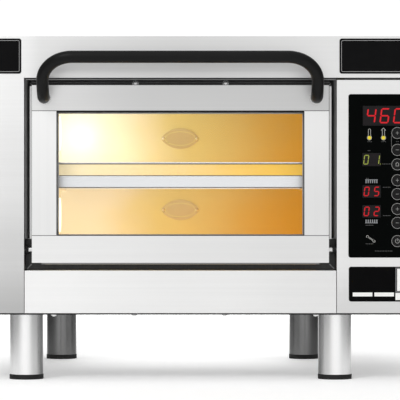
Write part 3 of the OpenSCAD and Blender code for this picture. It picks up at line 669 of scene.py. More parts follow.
@dataclass(frozen=True)
class PowderCoat(Finish):
    """Fine-textured black coating over steel, worn smooth on its high spots."""

    tone: float = 0.09
    shine: float = 0.12

    def shade(self, bench: Bench) -> Socket:
        """Orange-peel relief with a slight change of gloss.

        Args:
            bench: The bench to build on.

        Returns:
            The shader.
        """
        peel = bench.noise(bench.place, 900.0, 2.0)
        wear = bench.noise(bench.place, 22.0, 3.0)
        level = wear * 0.003 + peel * 0.002 + linear(self.tone) * 0.6
        colour = bench.grey(level)
        return self.principled(
            bench, base_color=colour, roughness=wear * 0.14 + 0.30,
            specular_ior_level=self.shine, normal=bench.bump(peel, 0.00004, 0.4),
        )


@dataclass(frozen=True)
class Rubber(Finish):
    """Moulded black rubber with a dry bloom."""

    tone: float = 0.07
    bloom: float = 0.02

    def shade(self, bench: Bench) -> Socket:
        """Matt black, greyed where dust sits.

        Args:
            bench: The bench to build on.

        Returns:
            The shader.
        """
        dust = bench.noise(bench.place, 70.0, 4.0)
        level = dust * self.bloom + linear(self.tone)
        colour = bench.grey(level)
        return self.principled(
            bench, base_color=colour, roughness=dust * 0.2 + 0.6,
            specular_ior_level=0.25, normal=bench.bump(dust, 0.0002, 0.25),
        )


@dataclass(frozen=True)
class MouldedPlastic(Finish):
    """Injection-moulded plastic with a spark-eroded texture."""

    colour: Rgb = (0.5, 0.5, 0.5)
    gloss: float = 0.45
    shine: float = 0.4

    def shade(self, bench: Bench) -> Socket:
        """Even colour with a fine moulded stipple.

        Args:
            bench: The bench to build on.

        Returns:
            The shader.
        """
        stipple = bench.noise(bench.place, 1400.0, 2.0)
        flow = bench.noise(bench.place, 30.0, 2.0)
        colour = bench.tinted(linear_rgb(self.colour), stipple * 0.16 + flow * 0.16 + 0.84)
        return self.principled(
            bench, base_color=colour, roughness=stipple * 0.15 + self.gloss,
            specular_ior_level=self.shine, normal=bench.bump(stipple, 0.00003, 0.5),
        )


@dataclass(frozen=True)
class MineralWool(Finish):
    """Yellow-grey insulation board of matted fibres."""

    colour: Rgb = (0.72, 0.68, 0.52)

    def shade(self, bench: Bench) -> Socket:
        """Tangled fibres in colour and relief.

        Args:
            bench: The bench to build on.

        Returns:
            The shader.
        """
        fibres = bench.noise(bench.stretched((300.0, 900.0, 500.0)), 1.0, 6.0)
        tufts = bench.noise(bench.place, 60.0, 4.0)
        colour = bench.tinted(linear_rgb(self.colour), fibres * 0.6 + tufts * 0.4 + 0.5)
        return self.principled(
            bench, base_color=colour, roughness=0.95, normal=bench.bump(fibres, 0.0015, 0.8)
        )


@dataclass(frozen=True)
class CircuitBoard(Finish):
    """Green solder mask over copper tracks."""

    def shade(self, bench: Bench) -> Socket:
        """Tracks from a tiled brick pattern under a glossy mask.

        Args:
            bench: The bench to build on.

        Returns:
            The shader.
        """
        turned = bench.add(
            "ShaderNodeMapping", None,
            {"Vector": bench.place, "Rotation": (math.pi / 2, 0.0, 0.0), "Scale": (160.0,) * 3},
        )
        tracks = bench.add(
            "ShaderNodeTexBrick", {"offset": 0.37},
            {"Vector": turned, "Scale": 1.0, "Mortar Size": 0.04}, "Fac",
        )
        colour = bench.mix(tracks, (0.012, 0.075, 0.03, 1.0), (0.04, 0.17, 0.07, 1.0))
        return self.principled(
            bench, base_color=colour, roughness=tracks * 0.1 + 0.3,
            normal=bench.bump(tracks, 0.00005, 0.6),
        )


@dataclass(frozen=True)
class ClearGlass(Finish):
    """Flat toughened glass that lets light straight through."""

    clearness: Rgb = (0.985, 0.987, 0.99)

    def shade(self, bench: Bench) -> Socket:
        """Clear at the middle of view, mirror-like at a grazing angle, with wiped smears.

        Args:
            bench: The bench to build on.

        Returns:
            The shader.
        """
        smears = bench.noise(bench.stretched((8.0, 8.0, 40.0)), 1.0, 3.0)
        clear = bench.add("ShaderNodeBsdfTransparent", None, {0: (*self.clearness, 1.0)})
        mirror = self.principled(
            bench, base_color=(0.9, 0.92, 0.91, 1.0), metallic=1.0,
            roughness=smears * 0.05 + 0.01,
        )
        facing = bench.add("ShaderNodeFresnel", None, {"IOR": 1.12})
        share = facing * (smears * 0.2 + 0.8)
        return bench.add("ShaderNodeMixShader", None, {0: share, 1: clear, 2: mirror})


@dataclass(frozen=True)
class Glow(Finish):
    """A lit surface: lamp glass, bulb or display segment."""

    colour: Rgb = (1.0, 0.1, 0.05)
    strength: float = 1.0
    unevenness: float = 0.15
    grain: float = 300.0

    def shade(self, bench: Bench) -> Socket:
        """Light that is a little brighter in places, under a glossy skin.

        Args:
            bench: The bench to build on.

        Returns:
            The shader.
        """
        patch = bench.noise(bench.place, self.grain, 2.0)
        light = bench.tinted(
            linear_rgb(self.colour), patch * self.unevenness + (1 - self.unevenness / 2)
        )
        return self.principled(
            bench, base_color=bench.tinted(light, patch * 0.2 + 0.1), roughness=0.4,
            specular_ior_level=0.1, emission_color=light, emission_strength=self.strength,
        )


@dataclass(frozen=True)
class Ink(Finish):
    """Screen-printed ink, slightly broken at its edges."""

    colour: Rgb = (0.9, 0.9, 0.9)

    def shade(self, bench: Bench) -> Socket:
        """Opaque print with a faint mottle.

        Args:
            bench: The bench to build on.

        Returns:
            The shader.
        """
        mottle = bench.noise(bench.place, 700.0, 3.0)
        colour = bench.tinted(linear_rgb(self.colour), mottle * 0.16 + 0.92)
        return self.principled(
            bench, base_color=colour, roughness=mottle * 0.1 + 0.5, specular_ior_level=0.2
        )


# ---------------------------------------------------------------- mesh work


def rectangle(x0: float, z0: float, x1: float, z1: float) -> list[Point]:
    """The outline of a rectangle, from its lower left."""
    return [(x0, z0), (x1, z0), (x1, z1), (x0, z1)]


def rounded(x0: float, z0: float, x1: float, z1: float, radius: float) -> list[Point]:
    """The outline of a rectangle with rounded corners, from its lower right.

    Args:
        x0: Left side.
        z0: Lower side.
        x1: Right side.
        z1: Upper side.
        radius: Radius of the corners.

    Returns:
        The outline's points.
    """
    steps = 6
    corners = (
        (x1 - radius, z0 + radius, -90), (x1 - radius, z1 - radius, 0),
        (x0 + radius, z1 - radius, 90), (x0 + radius, z0 + radius, 180),
    )
    return [
        (
            x + radius * math.cos(math.radians(start + 90 * i / steps)),
            z + radius * math.sin(math.radians(start + 90 * i / steps)),
        )
        for x, z, start in corners
        for i in range(steps + 1)
    ]


def ellipse(middle: Point, across: float, up: float, count: int) -> list[Point]:
    """An oval outline.

    Args:
        middle: Its middle.
        across: Its half size across.
        up: Its half size upwards.
        count: Number of points.

    Returns:
        The outline's points.
    """
    turns = [2 * math.pi * i / count for i in range(count)]
    return [(middle[0] + across * math.cos(t), middle[1] + up * math.sin(t)) for t in turns]


def circle(x: float, z: float, radius: float, count: int = 32) -> list[Point]:
    """A round outline."""
    return ellipse((x, z), radius, radius, count)


def register(piece: bpy.types.Object, body: str) -> bpy.types.Object:
    """Hangs a finished piece on its body and reports it.

    Args:
        piece: The piece.
        body: The body that it moves with.

    Returns:
        The piece.
    """
    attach(piece, body)
    log.info("%s: %d faces on %s", piece.name, len(piece.data.polygons), body)
    return piece


@dataclass
class Blank:
    """A mesh being cut and folded, in millimetres from the front plane."""

    name: str
    points: list[Place] = field(default_factory=list)
    faces: list[tuple[int, ...]] = field(default_factory=list)

    def _add(self, points: Iterable[Place]) -> int:
        """Adds points.

        Args:
            points: The points.

        Returns:
            The number of the first.
        """
        start = len(self.points)
        self.points.extend(points)
        return start

    def plate(self, outline: Sequence[Point], y0: float, y1: float) -> "Blank":
        """Adds a flat plate with this outline between two depths."""
        return self.prism(outline, 1, y0, y1)

    def bar(self, x0: float, z0: float, x1: float, z1: float, y0: float, y1: float) -> "Blank":
        """Adds a square-edged plate."""
        return self.plate(rectangle(x0, z0, x1, z1), y0, y1)

    def stroke(self, start: Point, end: Point, width: float, y0: float, y1: float) -> "Blank":
        """Adds a straight printed line between two points.

        Args:
            start: Middle of its first end.
            end: Middle of its other end.
            width: Its width.
            y0: Its front.
            y1: Its back.

        Returns:
            The blank itself.
        """
        dx, dz = end[0] - start[0], end[1] - start[1]
        length = math.hypot(dx, dz)
        nx, nz = -dz / length * width / 2, dx / length * width / 2
        corners = [
            (start[0] + nx, start[1] + nz), (start[0] - nx, start[1] - nz),
            (end[0] - nx, end[1] - nz), (end[0] + nx, end[1] + nz),
        ]
        return self.plate(corners, y0, y1)

    def loops(self, rings: Sequence[Sequence[Place]]) -> "Blank":
        """Joins closed rings of equal count, the last to the first.

        Args:
            rings: The rings' points.

        Returns:
            The blank itself.
        """
        n = len(rings[0])
        starts = [self._add(ring) for ring in rings]
        for a, b in zip(starts, starts[1:] + starts[:1]):
            for i in range(n):
                j = (i + 1) % n
                self.faces.append((a + i, a + j, b + j, b + i))
        return self

    def prism(
        self, section: Sequence[Point], axis: int, start: float, end: float
    ) -> "Blank":
        """Adds a bar of one section along an axis.

        Args:
            section: Points in the other two axes, in their order.
            axis: 0, 1 or 2 for x, y or z.
            start: Where the bar starts.
            end: Where it ends.

        Returns:
            The blank itself.
        """
        n = len(section)
        a, b = (
            self._add((*p[:axis], along, *p[axis:]) for p in section) for along in (start, end)
        )
        self.faces.append(tuple(range(a, a + n)))
        self.faces.append(tuple(reversed(range(b, b + n))))
        for i in range(n):
            j = (i + 1) % n
            self.faces.append((a + j, a + i, b + i, b + j))
        return self

    def frame(
        self, outer: Sequence[Point], inner: Sequence[Point], y0: float, y1: float
    ) -> "Blank":
        """Adds a flat ring between two outlines of the same count.

        Args:
            outer: The outer outline.
            inner: The inner outline.
            y0: Its front.
            y1: Its back.

        Returns:
            The blank itself.
        """
        return self.loops(
            [
                [(x, y0, z) for x, z in outer], [(x, y0, z) for x, z in inner],
                [(x, y1, z) for x, z in inner], [(x, y1, z) for x, z in outer],
            ]
        )

    def arc(
        self, middle: Point, radius: float, start: float, end: float, width: float,
        y0: float, y1: float,
    ) -> "Blank":
        """Adds a printed arc.

        Args:
            middle: Its middle.
            radius: Radius of its middle line.
            start: Angle of its first end, in degrees.
            end: Angle of its other end.
            width: Its width.
            y0: Its front.
            y1: Its back.

        Returns:
            The blank itself.
        """
        steps = max(6, int(abs(end - start) / 12))
        angles = [math.radians(start + (end - start) * i / steps) for i in range(steps + 1)]
        outer, inner = (
            [(middle[0] + r * math.cos(a), middle[1] + r * math.sin(a)) for a in angles]
            for r in (radius + width / 2, radius - width / 2)
        )
        return self.plate(outer + inner[::-1], y0, y1)

    def piece(self, finish: Finish, bevel: float = 0.0) -> bpy.types.Object:
        """Makes the object, with its normals outwards and its edges eased.

        Args:
            finish: The surface finish.
            bevel: Width of the eased edges in millimetres.

        Returns:
            The object, at the origin.
        """
        mesh = bmesh.new()
        verts = [mesh.verts.new((x * MM, y * MM + FRONT_Y, z * MM)) for x, y, z in self.points]
        for face in self.faces:
            mesh.faces.new([verts[i] for i in face])
        bmesh.ops.recalc_face_normals(mesh, faces=mesh.faces)
        if bevel:
            bmesh.ops.bevel(
                mesh, geom=[e for e in mesh.edges if e.calc_face_angle(0) > 0.7],
                offset=bevel * MM, segments=2, affect="EDGES", profile=0.6,
            )
        data = bpy.data.meshes.new(self.name)
        mesh.to_mesh(data)
        mesh.free()
        data.materials.append(finish.material())
        made = bpy.data.objects.new(self.name, data)
        bpy.context.scene.collection.objects.link(made)
        return made


def spun(
    name: str, profile: Sequence[Point], origin: Place, axis: int,
    finish: Finish, segments: int = 40,
) -> bpy.types.Object:
    """Turns a closed profile around an axis.

    Args:
        name: Name of the piece.
        profile: Points of radius and place along the axis, in millimetres.
        origin: A point on the axis.
        axis: 0, 1 or 2 for x, y or z.
        finish: The surface finish.
        segments: Number of facets around.

    Returns:
        The object, smooth but for its sharp edges.
    """
    blank = Blank(name)
    rings = []
    for i in range(segments):
        turn = 2 * math.pi * i / segments
        ring = []
        for radius, place in profile:
            a, b = radius * math.cos(turn), radius * math.sin(turn)
            offset = ((place, a, b), (a, place, b), (a, b, place))[axis]
            ring.append(tuple(o + d for o, d in zip(origin, offset)))
        rings.append(ring)
    made = blank.loops(rings).piece(finish)
    smooth(made)
    return made


def smooth(piece: bpy.types.Object, angle: float = 32.0) -> None:
    """Shades a piece smoothly, with its sharp edges kept.

    Args:
        piece: The piece.
        angle: Edges sharper than this, in degrees, stay sharp.
    """
    mesh = bmesh.new()
    mesh.from_mesh(piece.data)
    bmesh.ops.remove_doubles(mesh, verts=mesh.verts, dist=1e-7)
    bmesh.ops.recalc_face_normals(mesh, faces=mesh.faces)
    mesh.to_mesh(piece.data)
    mesh.free()
    piece.data.shade_smooth()
    piece.data.set_sharp_from_angle(angle=math.radians(angle))


def dress(finish: Finish, *nodes: str) -> None:
    """Gives CAD nodes a finish.

    Args:
        finish: The surface finish.
        *nodes: Names of the CAD nodes.
    """
    for name in nodes:
        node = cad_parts[name]
        if not node.material_slots:
            node.data.materials.append(None)
        for slot in node.material_slots:
            slot.material = finish.material()
        log.info("%s dressed as %s", name, type(finish).__name__)


def hang(data: bpy.types.Light, place: Place, turn: Sequence[float]) -> None:
    """Hangs a light that the camera doesn't see.

    Args:
        data: The light.
        place: Where it hangs, in metres.
        turn: Its angles about x, y and z.
    """
    light = bpy.data.objects.new(data.name, data)
    light.location = place
    light.rotation_euler = turn
    light.visible_camera = False
    bpy.context.scene.collection.objects.link(light)


# ---------------------------------------------------------------- geometry nodes


@dataclass
class Pattern:
    """A Geometry Nodes tree that repeats a small part over carrier points."""

    name: str
    inputs: Mapping[str, tuple[str, Any]]

    def __post_init__(self) -> None:
        """Makes the empty tree with its named inputs."""
        self.tree = bpy.data.node_groups.new(self.name, "GeometryNodeTree")
        face = self.tree.interface
        face.new_socket("Geometry", in_out="INPUT", socket_type="NodeSocketGeometry")
        for label, (kind, value) in self.inputs.items():
            made = face.new_socket(label, in_out="INPUT", socket_type=f"NodeSocket{kind}")
            if value is not None:
                made.default_value = value
        face.new_socket("Geometry", in_out="OUTPUT", socket_type="NodeSocketGeometry")
        self.bench = Bench(self.tree)
        self.group = self.bench.raw("NodeGroupInput")
        self.build()

    def given(self, label: str) -> Socket:
        """One named input of the tree."""
        return Socket(self.bench, self.group.outputs[label])

    def build(self) -> None:
        """Builds the nodes between input and output."""
        raise NotImplementedError

    def attribute(self, label: str) -> Socket:
        """A vector stored on the carrier's points."""
        return self.bench.add(
            "GeometryNodeInputNamedAttribute", {"data_type": "FLOAT_VECTOR"}, {"Name": label}
        )

    def aimed(self, part: Socket) -> Socket:
        """Puts a part on every point, its z along the point's aim."""
        turn = self.bench.add(
            "FunctionNodeAlignRotationToVector", {"axis": "Z"}, {"Vector": self.attribute("aim")}
        )
        return self.bench.add(
            "GeometryNodeInstanceOnPoints", None,
            {"Points": self.given("Geometry"), "Instance": part, "Rotation": turn},
        )

    def close(self, geometry: Socket) -> None:
        """Ends the tree: real geometry with its material.

        Args:
            geometry: What the tree makes.
        """
        real = self.bench.add("GeometryNodeRealizeInstances", None, {0: geometry})
        done = self.bench.add(
            "GeometryNodeSetMaterial", None, {0: real, "Material": self.given("Material")}
        )
        self.bench.raw("NodeGroupOutput", None, {0: done})

    def run(
        self, name: str, points: Sequence[Place], attributes: Mapping[str, Sequence[Place]],
        finish: Finish, **values: Any,
    ) -> bpy.types.Object:
        """Evaluates the tree over carrier points.

        Args:
            name: Name of the finished piece.
            points: Carrier points in millimetres from the front plane.
            attributes: Vectors for the points by name, in metres or as directions.
            finish: The surface finish.
            **values: Input values by name, with underscores for spaces.

        Returns:
            A plain mesh object at the origin.
        """
        data = bpy.data.meshes.new(name + "_points")
        data.from_pydata([(x * MM, y * MM + FRONT_Y, z * MM) for x, y, z in points], [], [])
        for label, vectors in attributes.items():
            layer = data.attributes.new(label, "FLOAT_VECTOR", "POINT")
            layer.data.foreach_set("vector", [c for v in vectors for c in v])
        carrier = bpy.data.objects.new(name + "_points", data)
        bpy.context.scene.collection.objects.link(carrier)
        modifier = carrier.modifiers.new(self.name, "NODES")
        modifier.node_group = self.tree
        sockets = {
            item.name: item.identifier
            for item in self.tree.interface.items_tree
            if item.item_type == "SOCKET" and item.in_out == "INPUT"
        }
        modifier[sockets["Material"]] = finish.material()
        for label, value in values.items():
            modifier[sockets[label.replace("_", " ").capitalize()]] = value
        graph = bpy.context.evaluated_depsgraph_get()
        mesh = bpy.data.meshes.new_from_object(carrier.evaluated_get(graph), depsgraph=graph)
        carrier.modifiers.clear()
        bpy.data.objects.remove(carrier)
        mesh.name = name
        made = bpy.data.objects.new(name, mesh)
        bpy.context.scene.collection.objects.link(made)
        return made


MATERIAL_INPUT = {"Material": ("Material", None)}


class ScrewPattern(Pattern):
    """Hexagon-socket screws with a chamfered head on a washer."""

    def __init__(self) -> None:
        """Names the sizes of a screw."""
        sizes = {
            "Head radius": ("Float", 4 * MM),
            "Head height": ("Float", 2 * MM),
            "Socket radius": ("Float", 1.6 * MM),
        }
        super().__init__("screw_heads", {**sizes, **MATERIAL_INPUT})

    def build(self) -> None:
        """Instances one head on each point, along the point's aim."""
        radius, height = self.given("Head radius"), self.given("Head height")
        washer = self._solid(
            "Cylinder", height * 0.15, {"Vertices": 28, "Radius": radius, "Depth": height * 0.3}
        )
        cap = self._solid(
            "Cone", height * 0.34,
            {"Vertices": 28, "Radius Bottom": radius * 0.86, "Radius Top": radius * 0.6,
             "Depth": height * 0.66},
        )
        drive = self._solid(
            "Cylinder", height * 1.05,
            {"Vertices": 6, "Radius": self.given("Socket radius"), "Depth": height},
        )
        head = self.bench.add(
            "GeometryNodeMeshBoolean", {"operation": "DIFFERENCE", "solver": "EXACT"},
            {0: cap, 1: drive},
        )
        whole = self.bench.add("GeometryNodeJoinGeometry", None, {0: [washer, head]})
        self.close(self.aimed(whole))

    def _solid(self, kind: str, height: Socket, sizes: Mapping[str, Any]) -> Socket:
        """Adds one plain solid with its middle at a height.

        Args:
            kind: Cylinder or Cone.
            height: Height of its middle.
            sizes: The node's inputs.

        Returns:
            The solid.
        """
        solid = self.bench.add(f"GeometryNodeMesh{kind}", None, sizes, "Mesh")
        offset = self.bench.add("ShaderNodeCombineXYZ", None, {2: height})
        return self.bench.add(
            "GeometryNodeTransform", None, {"Geometry": solid, "Translation": offset}
        )


class BlockPattern(Pattern):
    """Small square-edged blocks: printed dashes and comb teeth."""

    def __init__(self) -> None:
        """Names the one scale of the pattern."""
        super().__init__("small_blocks", {"Scale": ("Float", 1.0), **MATERIAL_INPUT})

    def build(self) -> None:
        """Instances a unit block on each point, sized by the point."""
        bench = self.bench
        cube = bench.add("GeometryNodeMeshCube", None, {"Size": (1.0, 1.0, 1.0)}, "Mesh")
        size = bench.add(
            "ShaderNodeVectorMath", {"operation": "SCALE"},
            {0: self.attribute("size"), "Scale": self.given("Scale")},
        )
        self.close(
            bench.add(
                "GeometryNodeInstanceOnPoints", None,
                {"Points": self.given("Geometry"), "Instance": cube, "Scale": size},
            )
        )


class GuardPattern(Pattern):
    """A round wire guard: even rings and two crossed stays, facing the rear."""

    def __init__(self) -> None:
        """Names the sizes of a guard."""
        sizes = {
            "Rings": ("Int", 5),
            "Inner radius": ("Float", 8 * MM),
            "Ring step": ("Float", 8 * MM),
            "Wire radius": ("Float", 0.9 * MM),
        }
        super().__init__("wire_guard", {**sizes, **MATERIAL_INPUT})

    def build(self) -> None:
        """Rings from scaled circles, and stays from crossed lines."""
        bench = self.bench
        inner, step, rings = (self.given(n) for n in ("Inner radius", "Ring step", "Rings"))
        wire = self.given("Wire radius")
        line = bench.add(
            "GeometryNodeMeshLine", None, {"Count": rings, "Offset": (0.0, 0.0, 0.0)}
        )
        radius = inner + bench.add("GeometryNodeInputIndex") * step
        scale = bench.add("ShaderNodeCombineXYZ", None, {0: radius, 1: radius, 2: radius})
        ring = bench.add(
            "GeometryNodeCurvePrimitiveCircle", None, {"Resolution": 40, "Radius": 1.0}
        )
        circles = bench.add(
            "GeometryNodeInstanceOnPoints", None,
            {"Points": line, "Instance": ring, "Scale": scale},
        )
        circles = bench.add("GeometryNodeRealizeInstances", None, {0: circles})
        reach = inner + (rings - 1) * step + wire
        stays = []
        for axis in (0, 1):
            start, end = (
                bench.add("ShaderNodeCombineXYZ", None, {axis: reach * side, 2: wire * 1.6})
                for side in (-1, 1)
            )
            stays.append(
                bench.add("GeometryNodeCurvePrimitiveLine", None, {"Start": start, "End": end})
            )
        section = bench.add(
            "GeometryNodeCurvePrimitiveCircle", None, {"Resolution": 8, "Radius": wire}
        )
        curves = bench.add("GeometryNodeJoinGeometry", None, {0: [circles, *stays]})
        wires = bench.add(
            "GeometryNodeCurveToMesh", None,
            {"Curve": curves, "Profile Curve": section, "Fill Caps": True},
        )
        self.close(self.aimed(wires))


# ---------------------------------------------------------------- casing


def unit(axis: int, sign: int) -> Place:
    """A direction along one axis."""
    return tuple(float(sign) if i == axis else 0.0 for i in range(3))


@dataclass
class Casing:
    """The folded sheet casing, its fascias and its screws."""

    head: float = 2.0
    mid_height: float = 300.0
    # Tone ramps of painted light and shade: the header is painted brighter at the left and darker
    # under the handle, the lower panel brighter at the left, and the pillar and control panel
    # darker towards the bottom.
    header_painted_light: Tones = (
        (-347.5, 0.98), (-265.0, 0.95), (-230.0, 0.90), (-29.0, 0.865), (203.0, 0.905),
    )
    panel_painted_light: Tones = ((-260.0, 0.955), (0.0, 0.93), (202.0, 0.90))
    control_painted_shade: Tones = ((100.0, 0.845), (185.0, 0.91), (445.0, 0.92))
    pillar_painted_shade: Tones = ((100.0, 0.77), (190.0, 0.87), (300.0, 0.95), (448.0, 1.0))
    base_screws: tuple[float, ...] = (-217.0, -97.5, 36.5, 172.0)

    def build(self) -> None:
        """Dresses the sheet parts and adds the small fittings."""
        # The front sheets carry the painted light and shade of the tone ramps above.
        dress(
            BrushedSteel(1.0, across=self.header_painted_light, upward=self.pillar_painted_shade), "front_fascia"
        )
        dress(BrushedSteel(1.0, upward=self.control_painted_shade), "control_front_panel")
        dress(BrushedSteel(1.0, across=self.panel_painted_light), "lower_front_panel")
        dress(BrushedSteel(0.86, Grain.DEEP), "top_cover", "left_side_panel", "right_side_panel")
        dress(BrushedSteel(0.80, Grain.UPRIGHT, roughness=0.42), "rear_panel")
        dress(
            BrushedSteel(0.72, roughness=0.5),
            "base_tray", "chassis_frame", "partition_wall", "din_rail", "hinge_bearings",
        )
        # The front frame is dark steel: painted shade in the gap around the door.
        dress(RecessSteel(), "front_frame")
        dress(BrushedSteel(0.88, Grain.UPRIGHT), "side_channels")
        dress(Rubber(), "cable_gland")
        dress(BrushedSteel(0.80, Grain.DEEP, roughness=0.3), "steam_vent")
        self._screws()
        self._base_shade_strip()

    def _screws(self) -> None:
        """Replaces each plain screw disc by a real head."""
        cover = Extent.of("top_cover")
        middle = (cover.y0 + cover.y1) / 2
        places, aims, radii = [], [], []
        for box in separate_boxes("casing_screws"):
            sizes = (box.width, box.y1 - box.y0, box.height)
            axis, sign = self._outward(box, sizes, (0.0, middle, self.mid_height))
            seat = list(box.centre)
            seat[axis] = self._seat(box, axis, sign)
            places.append(tuple(seat))
            aims.append(unit(axis, sign))
            radii.append(sorted(sizes)[1] / 2)
        radius = min(radii) * MM
        piece = ScrewPattern().run(
            "casing_screw_heads", places, {"aim": aims},
            BrushedSteel(0.92, Grain.DEEP, roughness=0.25),
            Head_radius=radius, Head_height=self.head * MM, Socket_radius=radius * 0.42,
        )
        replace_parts(register(piece, ROOT), "casing_screws")

    @staticmethod
    def _outward(box: Extent, sizes: Sequence[float], middle: Place) -> tuple[int, int]:
        """Finds how a screw lies.

        Args:
            box: Its box.
            sizes: Its sizes along the axes.
            middle: The casing's middle.

        Returns:
            The axis that it lies along, and the way its head points.
        """
        spread = [abs(sizes[(i + 1) % 3] - sizes[(i + 2) % 3]) for i in range(3)]
        axis = spread.index(min(spread))
        return axis, (1 if box.centre[axis] > middle[axis] else -1)

    def _seat(self, box: Extent, axis: int, sign: int) -> float:
        """Where the head's underside lies along its axis."""
        ends = ((box.x0, box.x1), (box.y0, box.y1), (box.z0, box.z1))[axis]
        return ends[1] - self.head if sign > 0 else ends[0] + self.head

    def _base_shade_strip(self) -> None:
        """Adds a black strip under the front panels: painted shade along the casing's bottom edge.
        """
        front = Extent.of("lower_front_panel")
        reach = CAD_BOX[1].x / MM - 0.6
        # The black strip is painted shade under the front panels.
        strip = Blank("base_shade_strip").bar(-reach, front.z0 - 2.4, reach, front.z0 - 0.05, 1.0, 6.0)
        register(strip.piece(Rubber(0.09)), ROOT)
        self._base_screws(front.y0 + 9.0, front.z0 - 2.2)

    def _base_screws(self, deep: float, high: float) -> None:
        """Adds the domed screws that hold the front panels from below.

        Args:
            deep: Depth of their middles.
            high: Height of their heads' undersides.
        """
        dome = ((0.01, 0.0), (4.2, 0.0), (4.0, -1.2), (3.0, -2.4), (1.6, -3.1), (0.01, -3.3))
        for index, place in enumerate(self.base_screws):
            screw = spun(
                f"base_screw_{index + 1}", [(r, high + z) for r, z in dome],
                (place, deep, 0.0), 2, BrushedSteel(0.92, Grain.DEEP, roughness=0.2), 24,
            )
            register(screw, ROOT)


@dataclass
class DoorGap:
    """The deep gap around the door: rounded linings and black strips that paint its shade, beads,
    mitres and collars.
    """

    lining: float = 6.2
    swell: float = 9.0
    depth: float = 29.9
    bead: float = 1.3
    rear_bead: float = 0.6
    mitre: float = 8.5
    collar_radius: float = 6.0

    def build(self) -> None:
        """Measures the gap and lines it."""
        panel, header = Extent.of("lower_front_panel"), Extent.of("door_top_rail")
        frame_box, door = Extent.of("front_frame"), Extent.of("door_stiles")
        self.left, self.right = panel.x0 - 0.8, Extent.of("control_front_panel").x0
        self.door_left, self.door_right = door.x0, door.x1
        self.low, self.high = panel.z1, header.z1 + (door.x0 - self.left) - 0.6
        self.plate = frame_box.y1 - 1.5
        channel = Extent.of("side_channels")
        self.foot, self.head = channel.z0 + 0.5, channel.z1
        self._side_shade_linings()
        self._edge_shade_strips()
        self._top_beads()
        self._mitres()
        self._collars()

    def _side_shade_linings(self) -> None:
        """Rounded dark strips beside the bright channels: painted shade on the gap's side walls.
        """
        linings = Blank("gap_shade_linings")
        for wall, way in ((self.left + 0.15, 1), (self.right - 0.15, -1)):
            turns = [math.pi / 2 * i / 8 for i in range(9)]
            curve = [
                (wall + way * self.lining * math.sin(t), self.depth - self.swell * math.cos(t))
                for t in turns
            ]
            linings.prism([(wall, self.depth), *curve], 2, self.foot, self.high)
        piece = linings.piece(RecessSteel(0.46, 0.08))
        smooth(piece, 50.0)
        register(piece, ROOT)

    def _edge_shade_strips(self) -> None:
        """Thin black strips right beside the door's edges: painted shade in the gap."""
        shade_strips = Blank("door_edge_shade_strips")
        for edge, way in ((self.door_left, -1), (self.door_right, 1)):
            a, b = edge + way * 0.4, edge + way * 2.0
            shade_strips.bar(min(a, b), self.foot, max(a, b), self.head, self.depth - 4.0, self.depth)
        register(shade_strips.piece(Rubber(0.06)), ROOT)

    def _top_beads(self) -> None:
        """Two rolled beads along the top of the gap."""
        beads = Blank("gap_beads")
        a, b = self.left + 0.3, self.right - 0.3
        beads.prism(circle(18.0, self.high - 1.4, self.bead, 14), 0, a, b)
        beads.prism(circle(38.0, self.high - 4.6, self.rear_bead, 14), 0, a + 8.0, b - 8.0)
        piece = beads.piece(RecessSteel(0.60, 0.06))
        smooth(piece, 50.0)
        register(piece, ROOT)

    def _mitres(self) -> None:
        """Ground weld lines across the corners of the frame."""
        welds = Blank("mitre_welds")
        front = self.plate - 0.35
        corners = (
            (self.left, self.low, 1, 1), (self.right, self.low, -1, 1),
            (self.left, self.high, 1, -1), (self.right, self.high, -1, -1),
        )
        for x, z, dx, dz in corners:
            start = (x + dx * 1.5, z + dz * 1.5)
            end = (x + dx * self.mitre, z + dz * self.mitre)
            welds.stroke(start, end, 1.6, front, self.plate)
        register(welds.piece(RecessSteel(0.50, 0.08)), ROOT)

    def _collars(self) -> None:
        """Dark bushes around the hinge pins."""
        pin = separate_boxes("hinge_pins")[0]
        inner, outer = pin.height / 2 + 0.35, self.collar_radius
        near, far, chamfer = 0.3, 5.6, 0.6
        section = (
            (inner, near), (outer, near), (outer, far - chamfer), (outer - chamfer, far),
            (inner, far),
        )
        for name, wall, way in (("left", self.left, 1), ("right", self.right, -1)):
            profile = [(radius, wall + way * offset) for radius, offset in section]
            origin = (0.0, pin.centre[1], pin.centre[2])
            bush = spun(f"hinge_bush_{name}", profile, origin, 0, Rubber(0.12))
            register(bush, ROOT)


